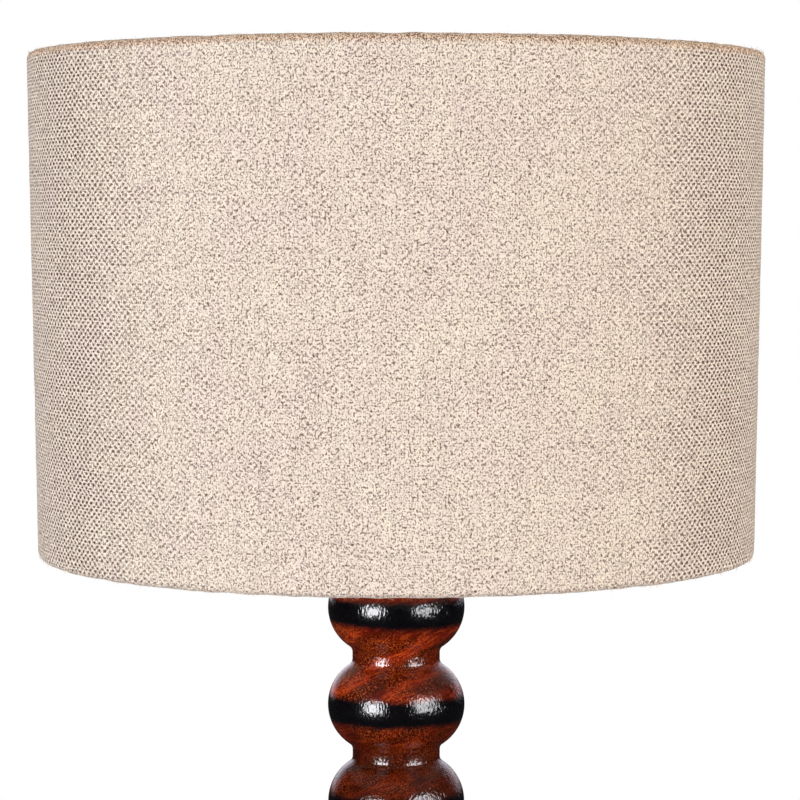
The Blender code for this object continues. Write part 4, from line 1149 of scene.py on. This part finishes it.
def beaded_stem():
    low, high, _ = extent("turned_stem")
    bore, tenon = 5.5 * MM, 12.0 * MM
    seat = BASE_TOP + 0.3 * MM
    lean = math.degrees(math.atan2(BEAD_HALF, COVE_CENTRE - BEAD_CENTRE))
    outline = [(bore, high), (NECK_RADIUS - 1.0 * MM, high)]
    outline += arc((NECK_RADIUS - 1.0 * MM, high - 1.0 * MM), 1.0 * MM, 75, 0, 4)
    for i in range(BEAD_COUNT):
        level = TOP_BEAD - i * BEAD_PITCH
        outline += arc((COVE_CENTRE, level + BEAD_HALF), COVE_RADIUS, 180, 180 + lean, 9)[:-1]
        outline += arc((BEAD_CENTRE, level), BEAD_CURVE, lean, -lean, 34)
        outline += arc((COVE_CENTRE, level - BEAD_HALF), COVE_RADIUS, 180 - lean, 180, 9)[1:]
    outline += [(NECK_RADIUS, seat), (tenon, seat), (tenon, low), (bore, low)]
    obj = lathe("beaded_stem", outline, 192, hand_turned(0.07 * MM, 1.3))
    return fit(obj, lacquered_wood("lacquered_wood", bead_bands), "stand", "turned_stem")


def turned_base():
    """The base: a bull-nose edge, a small step, a cove up to the collar, and the recess below."""
    wide = outer_radius("base_disc")
    edge, collar_bead = 9.5 * MM, 3.5 * MM
    collar = 34.5 * MM - collar_bead
    rim = wide - edge
    cove_start, cove_end = collar + 1.5 * MM, rim - 3.5 * MM
    cove_low, cove_high = BASE_BOTTOM + 2 * edge + 1.2 * MM, BASE_TOP - 2 * collar_bead
    tenon, bore, recess = 12.3 * MM, 5.5 * MM, 31.0 * MM
    floor, seat = BASE_BOTTOM + 15.0 * MM, BASE_TOP - 9.8 * MM
    outline = arc((collar, BASE_TOP - collar_bead), collar_bead, 90, -80, 14)
    for angle in np.radians(np.linspace(4, 90, 22)):
        r = cove_end - (cove_end - cove_start) * math.cos(angle)
        outline.append((r, cove_high - (cove_high - cove_low) * math.sin(angle)))
    outline += arc((rim - 1.8 * MM, cove_low - 0.5 * MM), 0.5 * MM, 90, 0, 3)
    outline += arc((rim - 0.3 * MM, BASE_BOTTOM + edge), edge, 92, 60, 6)[:-1]
    outline += arc((rim, BASE_BOTTOM + edge), edge, 60, -84, 26)
    outline += rounded(
        [(rim, BASE_BOTTOM, 0), (recess, BASE_BOTTOM, 0.8), (recess, floor, 0.6), (bore, floor, 0)],
        4,
        closed=False,
    )
    outline += [(bore, seat), (tenon, seat), (tenon, BASE_TOP)]
    obj = lathe("turned_base", outline, 256, hand_turned(0.08 * MM, 4.1))
    obj.data.materials.append(lacquered_wood("base_lacquer", edge_bands, 0.26))
    obj.data.materials.append(bare_wood())
    for face in obj.data.polygons:
        if face.center.z < BASE_BOTTOM + 0.4 * MM or math.hypot(*face.center.xy) < recess + MM:
            face.material_index = 1 if face.center.z < floor + 2 * MM else 0
    level = middle_of("cord_grommet")
    hole = (0, recess + 24 * MM, level)
    cut_with(obj, rod_cutter(4.6 * MM, 60 * MM, hole, about_x=math.pi / 2))
    flange_seat = (0, wide + 0.5 * MM, level)
    cut_with(obj, rod_cutter(7.3 * MM, 8.0 * MM, flange_seat, about_x=math.pi / 2))
    fit(obj, None, "stand", "base_disc", slot="lacquered_wood")


def rubber_foot(number, rubber):
    low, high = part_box(f"foot_{number}")
    centre = (low + high) / 2
    wide = (high.x - low.x) / 2
    height = high.z - low.z
    well, hole, ledge = 4.6 * MM, 2.3 * MM, 2.0 * MM
    corners = [(wide, height, 0.3), (wide, height - 1.2 * MM, 0.6), (wide - MM, 0.3 * MM, 0.6)]
    corners += [(wide - 1.6 * MM, 0, 0.4), (well, 0, 0.4), (well, ledge, 0.3)]
    corners += [(hole, ledge, 0.2), (hole, height, 0.2)]
    obj = lathe(f"rubber_foot_{number}", rounded(corners, 4), 64)
    moved(obj, (centre.x, centre.y, low.z))
    fit(obj, rubber, "stand", f"foot_{number}")


def cord_bush(rubber):
    """The grommet in the back of the base: a rounded flange, a lip and its bore."""
    low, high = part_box("cord_grommet")
    level = (low.z + high.z) / 2
    flange = (high.x - low.x) / 2
    depth = high.y - low.y
    body, bore, thick = 4.3 * MM, 3.5 * MM, 2.2 * MM
    corners = [(flange, 0, 0.2), (flange, thick, 1.3), (bore + 0.9 * MM, thick, 0.5)]
    corners += [(bore, thick - 0.9 * MM, 0.6), (bore, thick - depth, 0.3)]
    corners += [(body, thick - depth, 0.4), (body, 0, 0.1)]
    obj = lathe("cord_bush", rounded(corners, 5), 72)
    moved(obj, (0, high.y - thick, level), about_x=-math.pi / 2)
    fit(obj, rubber, "stand", "cord_grommet")


def threaded_pipe(zinc):
    """The lamp pipe: threaded at both ends, plain where the stem hides it."""
    low, high, wide = extent("lamp_pipe")
    bore = 3.5 * MM
    pitch, depth = 1.0 * MM, 0.45 * MM
    upper_end = high - 20 * MM
    lower_end = low + 16 * MM
    step = -0.2 * MM
    levels = [*np.arange(high, upper_end, step), *np.arange(lower_end, low, step), low]
    outline = [(wide, z) for z in levels] + [(bore, low), (bore, high)]

    def cut_ends(angle, r, z):
        threaded = (z > upper_end + MM) | (z < lower_end - MM)
        cut = r - depth * helix(angle, z, pitch)
        return np.where(threaded & (r > bore + 0.1 * MM), cut, r)

    fit(lathe("threaded_pipe", outline, 48, cut_ends), zinc, "stand", "lamp_pipe")


def brass_cap(brass):
    """The spun cap over the stem's end grain, with a small bead round its edge."""
    low, high, wide = extent("stem_cap")
    bore = 5.15 * MM
    corners = [(bore, high, 0.2), (wide - 6.0 * MM, high, 1.0)]
    corners += [(wide - 2.2 * MM, high - 0.6 * MM, 0.8), (wide - 1.4 * MM, high - 0.3 * MM, 0.6)]
    corners += [(wide, high - 0.7 * MM, 0.8), (wide, low, 0.3), (bore, low, 0.2)]
    fit(lathe("brass_cap", rounded(corners, 4), 128), brass, "stand", "stem_cap")


# CAD nodes that stay, with a finish of their own.


def refinish(names, material, bevel=0.0):
    """Gives CAD nodes a material, and a bevel in mm where their edges would be softened."""
    for name in names:
        node = NODES[name]
        node.data.materials.clear()
        node.data.materials.append(material)
        slot_name(material)
        if bevel:
            edge = node.modifiers.new("bevel", "BEVEL")
            edge.width = bevel * MM
            edge.segments = 2
            edge.limit_method = "ANGLE"
            edge.angle_limit = math.radians(35)


def main():
    bpy.context.scene.view_settings.view_transform = "Standard"
    make_camera()
    make_world()
    make_floor()

    steel = powder_coat()
    phenolic = black_phenolic()
    brass = worn_metal("yellow_brass", (0.80, 0.58, 0.26), (0.46, 0.27, 0.10), 0.20)
    nickel = worn_metal("nickel_plate", (0.74, 0.72, 0.68), (0.52, 0.47, 0.40), 0.16)
    zinc = worn_metal("zinc_steel", (0.64, 0.65, 0.63), (0.45, 0.42, 0.34), 0.30, 1200.0)
    rubber = black_rubber()

    cloth, section = drum_cloth()
    shade_fibres()
    drum_liner()
    hoop("hoop_low", "lower_hoop", LOW_HOOP, steel, 3)
    hoop("hoop_high", "upper_hoop", HIGH_HOOP, steel, 5)
    carrier_plate(steel)
    for number in (1, 2, 3):
        carrier_arm(number, steel)

    shade_ring("ring_low", "lower_shade_ring", "stand", phenolic)
    shade_ring("ring_high", "upper_shade_ring", "upper_ring", phenolic)
    holder_cup(phenolic)
    holder_tube(phenolic)
    thread_shell(brass)
    push_bar(phenolic)

    bulb_tip(nickel)
    bulb_plug()
    bulb_thread(nickel)
    white = (0.84, 0.84, 0.82), (0.78, 0.77, 0.74)
    opal = (0.90, 0.90, 0.87), (0.86, 0.85, 0.80)
    bulb_body(moulded_plastic("white_plastic", white, 2600.0))
    bulb_dome(moulded_plastic("opal_plastic", opal, 900.0, 0.35))

    stem = beaded_stem()
    turned_base()
    cord_bush(rubber)
    threaded_pipe(zinc)
    brass_cap(brass)
    for number in (1, 2, 3, 4):
        rubber_foot(number, rubber)

    screws = [f"foot_screw_{n}" for n in (1, 2, 3, 4)] + ["holder_grub_screw"]
    refinish(screws, zinc)
    refinish(["base_washer", "base_nut"], zinc, 0.3)
    refinish(["lock_nut"], brass, 0.3)
    refinish(["terminal_screw_1", "terminal_screw_2", "centre_contact"], brass)
    refinish(["holder_insulator"], white_ceramic(), 0.3)

    make_lights(stem)


main()
